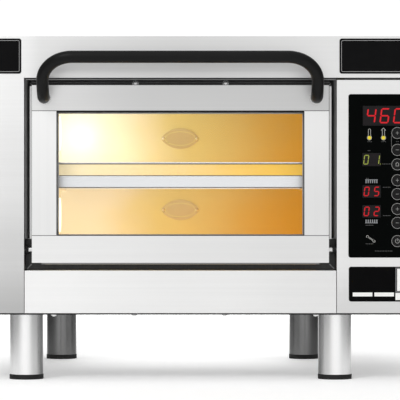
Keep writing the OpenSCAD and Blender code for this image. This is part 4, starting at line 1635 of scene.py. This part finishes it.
@dataclass
class Studio:
    """A white room: floor, daylight and the camera."""

    distance: float = 3.5
    eye: float = 0.2675
    lens: float = 212.8
    room_light: float = 0.96
    side_light: float = 0.35
    back_light: float = 0.55
    backdrop: float = 1.05
    floor_across: Point = (-0.85, 0.85)
    floor_deep: Point = (-0.95, 2.4)

    def build(self) -> None:
        """Sets up the camera, floor, world and lights."""
        scene = bpy.context.scene
        scene.view_settings.view_transform = "Standard"
        camera = bpy.data.objects.new("camera", bpy.data.cameras.new("camera"))
        camera.data.lens = self.lens
        camera.data.sensor_width = 36.0
        camera.location = (0.0, FRONT_Y - self.distance, self.eye)
        camera.rotation_euler = (math.pi / 2, 0.0, 0.0)
        scene.collection.objects.link(camera)
        scene.camera = camera
        self._floor()
        self._world()
        self._softbox("key_softbox", (-1.3, FRONT_Y - 2.2, 2.3), (0.0, 0.0, 0.35), 1.0, 26.0)
        self._softbox("rear_softbox", (0.0, 2.5, 0.95), (0.0, 0.3, 0.0), 1.3, 30.0)
        under = (-0.02, FRONT_Y + 0.44, 0.093)
        self._softbox("floor_fill", under, (under[0], under[1], 0.0), 0.36, 0.16)

    def _floor(self) -> None:
        """Lays the pale floor."""
        data = bpy.data.meshes.new("floor")
        (x0, x1), (y0, y1) = self.floor_across, self.floor_deep
        corners = [(x, y, 0) for x, y in rectangle(x0, y0, x1, y1)]
        data.from_pydata(corners, [], [(0, 1, 2, 3)])
        floor = bpy.data.objects.new("floor", data)
        data.materials.append(PaleFloor().material())
        bpy.context.scene.collection.objects.link(floor)

    def _world(self) -> None:
        """Lights the room evenly, a little dimmer at the sides."""
        world = bpy.data.worlds.new("room")
        bpy.context.scene.world = world
        world.use_nodes = True
        world.node_tree.nodes.clear()
        bench = Bench(world.node_tree)
        direction = bench.add("ShaderNodeTexCoord", output="Generated")
        across = bench.add("ShaderNodeSeparateXYZ", None, {0: direction}, 0).size()
        behind = bench.add("ShaderNodeSeparateXYZ", None, {0: direction}, 1)
        seen = bench.add("ShaderNodeLightPath", output="Is Camera Ray")
        sides = across.step(0.30, 0.85, 1.0, self.side_light)
        back = behind.step(0.0, 0.8, 1.0, self.back_light)
        light = sides * back * self.room_light * (1 - seen) + seen * self.backdrop
        colour = bench.grey(light)
        background = bench.add("ShaderNodeBackground", None, {"Color": colour, "Strength": 1.0})
        bench.raw("ShaderNodeOutputWorld", None, {"Surface": background})

    @staticmethod
    def _softbox(
        name: str, place: Place, target: Place, size: float, power: float
    ) -> None:
        """Hangs a square soft light that looks at a target.

        Args:
            name: Its name.
            place: Where it hangs, in metres.
            target: What it looks at.
            size: Its side.
            power: Its power in watts.
        """
        data = bpy.data.lights.new(name, "AREA")
        data.size = size
        data.energy = power
        aim = Vector(target) - Vector(place)
        hang(data, place, aim.to_track_quat("-Z", "Y").to_euler())


@dataclass(frozen=True)
class PaleFloor(Finish):
    """A seamless white studio floor."""

    def shade(self, bench: Bench) -> Socket:
        """Matt white with the faintest unevenness.

        Args:
            bench: The bench to build on.

        Returns:
            The shader.
        """
        cloud = bench.noise(bench.place, 3.0, 2.0)
        level = cloud * 0.02 + 0.90
        colour = bench.grey(level)
        return self.principled(
            bench, base_color=colour, roughness=0.9, specular_ior_level=0.0,
            emission_color=(1.0, 1.0, 1.0, 1.0), emission_strength=0.26,
        )


@dataclass
class Badges:
    """Two blank black plates on the header, each with a fine silver line."""

    inset: float = 2.7
    line: float = 0.55
    radius: float = 2.4

    def build(self) -> None:
        """Dresses the plates and prints their lines."""
        dress(BlackGloss((0.06, 0.06, 0.063), 0.04), "badge_plates")
        lines = Blank("badge_lines")
        for box in separate_boxes("badge_plates"):
            outer, inner = (
                rounded(
                    box.x0 + self.inset + line, box.z0 + self.inset + line,
                    box.x1 - self.inset - line, box.z1 - self.inset - line, self.radius - line,
                )
                for line in (0.0, self.line)
            )
            lines.frame(outer, inner, box.y0 - 0.06, box.y0 + 0.1)
        register(lines.piece(Ink((0.70, 0.70, 0.70))), ROOT)


@dataclass
class Door:
    """The drop-down glass door and its handle."""

    gasket_top: float = 3.2
    gasket_side: float = 1.3
    # Tone ramps of painted light and shade: the rails are painted darker towards the right, and
    # the stiles brighter towards the left and towards the top.
    top_rail_painted_light: Tones = ((-249.0, 0.89), (-60.0, 0.815), (191.0, 0.80))
    bottom_rail_painted_light: Tones = ((-249.0, 0.93), (191.0, 0.885))
    stile_painted_light: Tones = ((-230.0, 0.96), (170.0, 0.93))
    stile_painted_upward_light: Tones = ((215.0, 0.955), (399.0, 1.0))

    def build(self) -> None:
        """Dresses the door's parts and beds its glass."""
        dress(BrushedSteel(1.0, across=self.top_rail_painted_light), "door_top_rail")
        dress(BrushedSteel(1.0, across=self.bottom_rail_painted_light), "door_bottom_rail")
        dress(
            BrushedSteel(1.0, Grain.UPRIGHT, across=self.stile_painted_light, upward=self.stile_painted_upward_light),
            "door_stiles",
        )
        dress(BrushedSteel(0.80, roughness=0.4), "door_inner_frame")
        dress(ClearGlass(), "outer_glass", "inner_glass")
        dress(Rubber(0.10), "door_seal")
        dress(PowderCoat(), "door_handle")
        dress(BrushedSteel(0.86, Grain.DEEP, roughness=0.28), "handle_sockets", "hinge_pins")
        self._gasket()
        self._seams()
        self._drip_lip()

    def _seams(self) -> None:
        """Adds dark strips in the seams between the rails and the stiles: painted shade in the
        seams.
        """
        shadow_lines = Blank("door_shadow_lines")
        low, high = Extent.of("door_bottom_rail").z1, Extent.of("door_top_rail").z0
        for stile in separate_boxes("door_stiles"):
            for z0, z1 in ((low, stile.z0), (stile.z1, high)):
                shadow_lines.bar(stile.x0 + 0.2, z0 - 0.05, stile.x1 - 0.2, z1 + 0.05, 0.25, 1.5)
        register(shadow_lines.piece(Rubber(0.10)), DOOR)

    def _drip_lip(self) -> None:
        """Adds the folded lip under the bottom rail."""
        rail = Extent.of("door_bottom_rail")
        low, high = rail.z0 - 2.3, rail.z0 + 0.2
        front, back, sheet = 3.0, 12.0, 1.0
        section = [
            (front, low), (back, low), (back, low + sheet), (front + sheet, low + sheet),
            (front + sheet, high), (front, high),
        ]
        lip = Blank("drip_lip").prism(section, 0, rail.x0 + 14.0, rail.x1 - 14.0)
        register(lip.piece(BrushedSteel(0.52)), DOOR)

    def _gasket(self) -> None:
        """Adds the black glazing strip, thickest under the top rail."""
        glass = Extent.of("outer_glass")
        stiles = separate_boxes("door_stiles")
        left, right = stiles[0].x1, stiles[-1].x0
        low, high = Extent.of("door_bottom_rail").z1, Extent.of("door_top_rail").z0
        side = self.gasket_side
        outer = rectangle(left, low, right, high)
        inner = rectangle(left + side, low + side, right - side, high - self.gasket_top)
        strip = Blank("window_gasket").frame(outer, inner, glass.y0 - 1.2, glass.y0 - 0.05)
        register(strip.piece(Rubber(0.05)), DOOR)


@dataclass
class Chamber:
    """The two-deck baking chamber with its stones, elements and lamps."""

    deck_height: float = 310.0
    lamp_powers: tuple[float, float] = (0.004, 0.11)
    lamp_colour: Rgb = (1.0, 0.98, 0.88)
    lamp_radius: float = 0.022
    lamp_inset: float = 26.0
    glow_powers: tuple[float, float] = (0.09, 0.24)
    glow_size: Point = (0.36, 0.03)
    glow_depth: float = 75.0
    glow_tilt: float = 62.0

    def build(self) -> None:
        """Dresses the chamber and lights its lamps."""
        # The liner carries a painted glow, and its upper deck is painted paler as lamplight.
        dress(HeatTintedSteel(painted_glow=0.13, painted_lamp_light_shift=40.0), "chamber_liner")
        # The stones carry painted lamplight falloff and a painted glow.
        dress(HearthStone(), "hearth_stone_upper", "hearth_stone_lower")
        dress(BrushedSteel(0.97, roughness=0.3, streaks=0.03), "stone_carriers")
        # The cover plates share the liner's ramp: heat tint with painted lamplight falloff.
        dress(
            HeatTintedSteel(metallic=0.6, roughness=0.3, pale=(0.93, 0.90, 0.82),
                            straw=(0.86, 0.78, 0.58), gold=(0.85, 0.70, 0.42)),
            "oval_cover_plates",
        )
        dress(RecessSteel(0.42, 0.1), "heating_elements", "thermocouple")
        dress(MineralWool(), "insulation_blocks")
        dress(BrushedSteel(0.85, Grain.DEEP, roughness=0.3), "lamp_holders")
        dress(Glow((1.0, 0.90, 0.70), 3.0, 0.1, 80.0), "lamp_bulbs")
        dress(Glow((1.0, 0.95, 0.82), 1.6, 0.2, 60.0), "lamp_glasses")
        for index, box in enumerate(separate_boxes("lamp_glasses")):
            self._lamp(f"chamber_lamp_{index + 1}", box, self.lamp_powers[index])
        self._deck_glow()
        self._plate_details()
        self._deck_edges()

    def _deck_glow(self) -> None:
        """Spreads the elements' warm light from the front of each deck's ceiling."""
        liner, stone = Extent.of("chamber_liner"), Extent.of("hearth_stone_upper")
        for index, height in enumerate((stone.z0 - 26.0, liner.z1 - 8.0)):
            data = bpy.data.lights.new(f"deck_glow_{index + 1}", "AREA")
            data.shape = "RECTANGLE"
            data.size, data.size_y = self.glow_size
            data.energy = self.glow_powers[index]
            data.color = self.lamp_colour
            place = (stone.centre[0] * MM, self.glow_depth * MM + FRONT_Y, height * MM)
            hang(data, place, (math.radians(self.glow_tilt), 0.0, 0.0))

    def _deck_edges(self) -> None:
        """Adds bright beads and dark lines along the front of the upper deck: painted highlights
        on its edges, and painted shadow under them, at the stone's joint and under the carrier.
        """
        stone = Extent.of("hearth_stone_upper")
        front, joint = stone.y0, stone.z0
        under = min(b.z0 for b in separate_boxes("stone_carriers") if b.z0 > stone.z0 - 30.0)
        beads, shadow_lines = Blank("deck_highlight_beads"), Blank("deck_shadow_lines")
        a, b = stone.x0 + 0.3, stone.x1 - 0.3
        # Bright bars on the upper stone's front edge and on the carrier's edge: painted
        # highlights.
        beads.bar(a, stone.z1 - 1.7, b, stone.z1 + 0.1, front - 0.9, front + 0.2)
        beads.bar(a, joint - 2.0, b, joint - 0.6, front - 0.6, front + 0.2)
        spans = (
            (stone.z1 - 3.2, stone.z1 - 1.8), (joint - 0.5, joint + 0.5),
            (under - 0.3, under + 0.9),
        )
        # Dark bars under the bead, at the stone's joint and under the carrier: painted shadow
        # lines.
        for low, high in spans:
            shadow_lines.bar(a, low, b, high, front - 0.35, front + 0.2)
        register(beads.piece(BrushedSteel(0.99, roughness=0.25)), ROOT)
        register(shadow_lines.piece(RecessSteel(0.30, 0.05)), ROOT)

    def _lamp(self, name: str, glass: Extent, power: float) -> None:
        """Puts the light of one lamp just inside its glass.

        Args:
            name: Its name.
            glass: The box of its glass.
            power: Its power in watts.
        """
        data = bpy.data.lights.new(name, "POINT")
        data.energy = power
        data.color = self.lamp_colour
        data.shadow_soft_size = self.lamp_radius
        lamp = bpy.data.objects.new(name, data)
        _, y, z = glass.centre
        lamp.location = ((glass.x1 + self.lamp_inset) * MM, y * MM + FRONT_Y, z * MM)
        bpy.context.scene.collection.objects.link(lamp)

    def _plate_details(self) -> None:
        """Adds a raised rib and two studs to each oval cover plate."""
        ribs = Blank("cover_plate_ribs")
        dome = ((0.01, 0.4), (2.6, 0.4), (2.4, -1.0), (1.4, -1.9), (0.01, -2.2))
        for box in separate_boxes("oval_cover_plates"):
            if box.width < 30.0:
                continue
            x, _, z = box.centre
            for side in (-1, 1):
                place = (x + side * (box.width / 2 - 2.5), box.y0, z)
                deck = "upper" if z > self.deck_height else "lower"
                stud = spun(
                    f"plate_stud_{deck}_{(side + 3) // 2}", dome, place, 1,
                    BrushedSteel(0.98, Grain.DEEP, roughness=0.3), 20,
                )
                register(stud, ROOT)
            outer, inner = (
                ellipse((x, z), box.width / 2 - inset, box.height / 2 - inset, 48)
                for inset in (5.0, 6.2)
            )
            ribs.frame(outer, inner, box.y0 - 0.5, box.y0 + 0.3)
        register(ribs.piece(HeatTintedSteel(metallic=0.6, roughness=0.3)), ROOT)


class Symbol(Enum):
    """What a key shows."""

    PLUS = "plus"
    MINUS = "minus"
    BELL = "bell"
    POWER = "power"


@dataclass
class Keys:
    """Eight round keys with a printed ring and symbol each."""

    order: tuple[Symbol, ...] = (
        Symbol.PLUS, Symbol.MINUS, Symbol.BELL, Symbol.PLUS,
        Symbol.MINUS, Symbol.PLUS, Symbol.MINUS, Symbol.POWER,
    )
    line: float = 0.5
    mark: float = 0.42
    print_depth: float = 0.06

    def build(self) -> None:
        """Dresses each key and prints on it."""
        for index, symbol in enumerate(self.order):
            node = f"key_{index + 1}"
            dress(BlackGloss((0.12, 0.12, 0.12), 0.05), node)
            legend = self._legend(node, symbol)
            register(legend.piece(Ink((0.66, 0.66, 0.65))), node)

    def _legend(self, node: str, symbol: Symbol) -> Blank:
        """Draws the ring and the symbol of one key.

        Args:
            node: The key's CAD node.
            symbol: What it shows.

        Returns:
            The print, standing a little in front of the key.
        """
        box = Extent.of(node)
        x, _, z = box.centre
        radius = box.width / 2
        y0, y1 = box.y0 - self.print_depth, box.y0 + 0.05
        legend = Blank(f"{node}_legend")
        legend.frame(circle(x, z, radius - 0.7), circle(x, z, radius - 0.7 - self.line), y0, y1)
        arm, half = radius * 0.26, self.mark / 2
        if symbol in (Symbol.PLUS, Symbol.MINUS):
            legend.bar(x - arm, z - half, x + arm, z + half, y0, y1)
        if symbol is Symbol.PLUS:
            legend.bar(x - half, z + half, x + half, z + arm, y0, y1)
            legend.bar(x - half, z - arm, x + half, z - half, y0, y1)
        if symbol is Symbol.BELL:
            for side in (-1, 1):
                legend.stroke((x + side * 2.0, z - 2.4), (x + side * 2.0, z + 0.9), 0.6, y0, y1)
                legend.stroke((x + side * 2.4, z + 0.9), (x, z + 3.2), 0.6, y0, y1)
            legend.stroke((x - 2.3, z - 2.4), (x + 2.3, z - 2.4), 0.6, y0, y1)
        if symbol is Symbol.POWER:
            legend.arc((x, z), arm * 1.25, 120, 420, 0.6, y0, y1)
            legend.bar(x - 0.3, z, x + 0.3, z + arm * 1.7, y0, y1)
        return legend


SEGMENTS: Mapping[str, str] = {
    "0": "abcdef", "1": "bc", "2": "abged", "4": "fgbc", "5": "afgcd", "6": "afgedc",
}


@dataclass
class Readout:
    """One row of seven-segment figures on a display window."""

    text: str
    finish: Finish
    height: float
    pitch: float
    width: float
    stroke: float
    point: bool = False
    slant: float = 0.13

    def draw(self, name: str, window: Extent, y0: float, y1: float) -> Blank:
        """Draws the figures in the middle of a window.

        Args:
            name: Name of the piece.
            window: The display window's box.
            y0: Front of the segments.
            y1: Back of the segments.

        Returns:
            The lit segments.
        """
        blank = Blank(name)
        x_mid, _, z_mid = window.centre
        start = x_mid - self.pitch * (len(self.text) - 1) / 2
        for index, figure in enumerate(self.text):
            middle = start + index * self.pitch
            for segment in SEGMENTS[figure]:
                outline = self._segment(segment)
                blank.plate(
                    [(middle + x + z * self.slant, z_mid + z) for x, z in outline], y0, y1
                )
        if self.point:
            x = start + self.pitch * (len(self.text) - 1) + self.width / 2 + self.stroke
            dot = self.stroke / 2
            blank.plate(circle(x, z_mid - self.height / 2 + dot, dot, 12), y0, y1)
        return blank

    def _segment(self, name: str) -> list[Point]:
        """The pointed outline of one segment.

        Args:
            name: The segment's letter, a to g.

        Returns:
            Its outline around the figure's middle.
        """
        w, h, s = self.width / 2, self.height / 2, self.stroke / 2
        gap = s * 0.25
        level = {"a": h - s, "g": 0.0, "d": s - h}
        if name in level:
            z = level[name]
            a, b = -w + s + gap, w - s - gap
            return [(a, z), (a + s, z - s), (b - s, z - s), (b, z), (b - s, z + s), (a + s, z + s)]
        x = w - s if name in "bc" else s - w
        low, high = (gap, h - s - gap) if name in "bf" else (s - h + gap, -gap)
        return [
            (x, low), (x + s, low + s), (x + s, high - s), (x, high), (x - s, high - s),
            (x - s, low + s),
        ]


@dataclass
class ControlPanel:
    """The keypad with its displays and printed signs, and the plate below it."""

    print_front: float = 0.06
    dash: Point = (1.5, 0.8)
    dash_step: float = 2.4
    rail: Point = (18.6, 0.9)
    tooth: Point = (1.5, 4.4)
    tooth_step: float = 3.2
    red: Rgb = (0.80, 0.13, 0.16)
    green: Rgb = (0.60, 0.64, 0.28)
    signs: Finish = Ink((0.72, 0.72, 0.70))
    faint: Finish = Ink((0.36, 0.36, 0.36))

    def build(self) -> None:
        """Dresses the panel's parts and adds its prints."""
        dress(BlackGloss(), "keypad_face")
        dress(BlackGloss((0.03, 0.03, 0.032), 0.03), "rating_plate")
        dress(BlackGloss((0.135, 0.125, 0.13), 0.05), "segment_displays")
        dress(CircuitBoard(), "controller_board")
        dress(MouldedPlastic((0.62, 0.63, 0.62)), "contactors", "terminal_block")
        self.face = Extent.of("keypad_face")
        self.y0, self.y1 = self.face.y0 - self.print_front, self.face.y0 + 0.05
        self._readouts()
        self._thermometers()
        self._heat_signs()
        self._hand_sign()
        self._labels()
        self._key_links()
        self._plate_fields()

    def _readouts(self) -> None:
        """Lights the four displays."""
        windows = sorted(separate_boxes("segment_displays"), key=lambda box: -box.centre[2])
        rows = (
            Readout("460", Glow(self.red, 0.95, 0.1), 22.5, 20.0, 13.6, 2.1),
            Readout("01", Glow(self.green, 0.82, 0.1), 14.2, 16.0, 7.4, 1.25, point=True),
            Readout("05", Glow(self.red, 0.78, 0.1), 14.2, 14.8, 8.0, 1.6),
            Readout("02", Glow(self.red, 0.78, 0.1), 14.2, 14.8, 8.0, 1.6),
        )
        for number, (row, window) in enumerate(zip(rows, windows), 1):
            lit = row.draw(f"readout_{number}", window, window.y0 - 0.12, window.y0 + 0.05)
            register(lit.piece(row.finish), ROOT)

    def _thermometers(self) -> None:
        """Prints the chamber and the set temperature signs."""
        outline, bulbs = Blank("thermometer_signs"), Blank("thermometer_bulbs")
        low, high = self.face.z0 + 174.0, self.face.z0 + 190.5
        for offset, arrow in ((31.0, False), (51.7, True)):
            x = self.face.x0 + offset
            outline.arc((x, low + 3.4), 3.3, -240, 60, 0.6, self.y0, self.y1)
            for side in (-1, 1):
                outline.bar(
                    x + side * 1.65 - 0.3, low + 6.2, x + side * 1.65 + 0.3, high - 1.6,
                    self.y0, self.y1,
                )
            bulbs.plate(circle(x, low + 3.4, 2.7, 20), self.y0, self.y1)
            if arrow:
                for side in (-1, 1):
                    outline.stroke(
                        (x + side * 3.4, high - 2.2), (x, high + 1.4), 0.7, self.y0, self.y1
                    )
            else:
                outline.arc((x, high - 1.6), 1.65, 0, 180, 0.6, self.y0, self.y1)
        register(outline.piece(self.signs), ROOT)
        register(bulbs.piece(Glow((0.86, 0.78, 0.22), 0.95)), ROOT)

    def _heat_signs(self) -> None:
        """Prints the top and bottom heat signs: a rail with teeth."""
        points, sizes = [], []
        middle = self.face.x0 + 34.0
        for rail, teeth in ((115.2, -1), (51.4, 1)):
            z = self.face.z0 + rail
            points.append((middle, z))
            sizes.append(self.rail)
            for tooth in range(6):
                points.append((middle + (tooth - 2.5) * self.tooth_step, z + teeth * 2.7))
                sizes.append(self.tooth)
        self._print_blocks("heat_signs", points, sizes, Ink((0.56, 0.57, 0.58)))

    def _labels(self) -> None:
        """Prints faint dashes in place of the small labels."""
        points, sizes = [], []
        rows = (
            (171.6, 31.3, 9.0), (171.6, 52.0, 8.0), (158.3, 30.4, 7.0), (138.6, 57.0, 15.0),
            (117.3, 28.0, 6.0), (104.2, 56.4, 12.0), (62.2, 56.4, 12.0), (48.0, 31.0, 13.0),
            (20.4, 31.0, 13.0), (9.8, 52.0, 27.0), (171.8, 72.5, 5.0),
        )
        for height, offset, length in rows:
            dashes = int(length / self.dash_step)
            for dash in range(dashes):
                shift = (dash - (dashes - 1) / 2) * self.dash_step
                points.append((self.face.x0 + offset + shift, self.face.z0 + height))
                sizes.append(self.dash)
        self._print_blocks("label_dashes", points, sizes, self.faint)

    def _print_blocks(
        self, name: str, points: Sequence[Point], sizes: Sequence[Point], finish: Finish
    ) -> None:
        """Prints rectangles on the keypad.

        Args:
            name: Name of the piece.
            points: The rectangles' middles.
            sizes: Their widths and heights.
            finish: The ink.
        """
        depth = self.y1 - self.y0
        carrier = [(x, (self.y0 + self.y1) / 2, z) for x, z in points]
        blocks = [(w * MM, depth * MM, h * MM) for w, h in sizes]
        piece = BlockPattern().run(name, carrier, {"size": blocks}, finish, Scale=1.0)
        register(piece, ROOT)

    def _hand_sign(self) -> None:
        """Prints the service sign: a small spanner held at a slant."""
        x, z = self.face.x0 + 33.0, self.face.z0 + 28.0
        sign = Blank("service_sign")
        for side in (-0.8, 0.8):
            sign.stroke(
                (x - 4.2, z + 2.9 + side), (x + 3.6, z - 2.5 + side), 0.5, self.y0, self.y1
            )
        sign.arc((x - 5.0, z + 3.2), 1.6, -10, 250, 0.6, self.y0, self.y1)
        sign.arc((x + 4.8, z - 3.6), 1.6, 170, 430, 0.6, self.y0, self.y1)
        register(sign.piece(self.signs), ROOT)

    def _key_links(self) -> None:
        """Prints the bracket that pairs the first two keys."""
        upper, lower = Extent.of("key_1"), Extent.of("key_2")
        x = upper.x0 + 0.6
        z_high, z_low = upper.centre[2] - 2.0, lower.centre[2] + 2.0
        bracket = Blank("key_bracket")
        bracket.bar(x - 0.25, z_low + 4.0, x + 0.25, z_high - 4.0, self.y0, self.y1)
        bracket.arc((x + 4.0, z_high - 4.0), 4.0, 180, 110, 0.5, self.y0, self.y1)
        bracket.arc((x + 4.0, z_low + 4.0), 4.0, 180, 250, 0.5, self.y0, self.y1)
        register(bracket.piece(Ink((0.45, 0.45, 0.45))), ROOT)

    def _plate_fields(self) -> None:
        """Prints blank white fields on the rating plate."""
        plate = Extent.of("rating_plate")
        y0, y1 = plate.y0 - self.print_front, plate.y0 + 0.05
        fields = Blank("rating_fields")
        x, z = plate.x0, plate.z0
        for left, right in ((5.8, 34.8), (37.8, 66.8)):
            fields.bar(x + left, z + 7.6, x + right, z + 13.4, y0, y1)
        fields.bar(x + 69.0, z + 2.3, x + 104.0, z + 12.8, y0, y1)
        fields.bar(x + 71.5, z + 15.6, x + 104.0, z + 48.6, y0, y1)
        register(fields.piece(Ink((0.95, 0.95, 0.94))), ROOT)
        rim = Blank("rating_field_rim")
        outer = rectangle(x + 69.0, z + 13.6, x + 106.2, z + 50.4)
        inner = rectangle(x + 70.6, z + 15.0, x + 104.8, z + 49.2)
        rim.frame(outer, inner, y0, y1)
        register(rim.piece(Ink((0.45, 0.45, 0.46))), ROOT)


@dataclass
class Stand:
    """Four tubular legs on rubber-shod levelling feet."""

    feet: tuple[str, ...] = (
        "foot_front_left", "foot_front_right", "foot_rear_left", "foot_rear_right",
    )
    # Painted reflection around each tube, bright in the middle and dark at the edges; the rear
    # pair are painted darker as shade under the oven.
    front_painted_reflection: tuple[float, ...] = (0.86, 0.95, 0.98, 0.84, 0.46)
    rear_painted_shade: tuple[float, ...] = (0.22, 0.34, 0.52, 0.46, 0.30)

    def build(self) -> None:
        """Dresses the tubes and the feet."""
        dress(self._leg_steel(), "leg_tubes")
        for name in self.feet:
            dress(Rubber(0.05), name)

    def _leg_steel(self) -> TubeSteel:
        """Sets the painted reflection and shade around the four tubes.

        Returns:
            The finish of the legs.
        """
        tubes = sorted(separate_boxes("leg_tubes"), key=lambda box: box.x0)
        middle = sum(box.centre[1] for box in tubes) / len(tubes)
        rows: tuple[list[Point], list[Point]] = ([], [])
        for box in tubes:
            behind = box.centre[1] > middle
            shades = self.rear_painted_shade if behind else self.front_painted_reflection
            if box.centre[0] > 0:
                shades = shades[::-1]
            for part, shade in zip((0.0, 0.2, 0.5, 0.8, 1.0), shades):
                rows[behind].append((box.x0 + part * box.width, shade))
        depth = middle + FRONT_Y / MM
        return TubeSteel(tuple(rows[0]), tuple(rows[1]), depth, tubes[0].z1)


@dataclass
class RearFittings:
    """The cooling fan and the wire guard outside the rear panel."""

    wire: float = 0.9
    rings: int = 5
    inner: float = 9.0

    def build(self) -> None:
        """Dresses the fan and adds its guard."""
        dress(MouldedPlastic((0.09, 0.09, 0.09)), "fan_housing")
        dress(MouldedPlastic((0.13, 0.13, 0.14), 0.35), "fan_rotor")
        housing, panel = Extent.of("fan_housing"), Extent.of("rear_panel")
        x, _, z = housing.centre
        step = (housing.width / 2 - 3.0 - self.inner) / (self.rings - 1)
        guard = GuardPattern().run(
            "fan_guard", [(x, panel.y1 + self.wire + 0.1, z)], {"aim": [(0.0, 1.0, 0.0)]},
            BrushedSteel(0.85, Grain.DEEP, roughness=0.25),
            Rings=self.rings, Inner_radius=self.inner * MM, Ring_step=step * MM,
            Wire_radius=self.wire * MM,
        )
        smooth(guard, 60.0)
        register(guard, ROOT)


def main() -> None:
    """Builds every sub-assembly in order."""
    logging.basicConfig(level=logging.INFO, format="%(name)s: %(message)s", stream=sys.stdout)
    parts = (
        Studio(), Casing(), DoorGap(), Badges(), Door(), Chamber(), Keys(), ControlPanel(),
        Stand(), RearFittings(),
    )
    for part in parts:
        log.info("building %s", type(part).__name__)
        part.build()


if __name__ == "__main__":
    main()
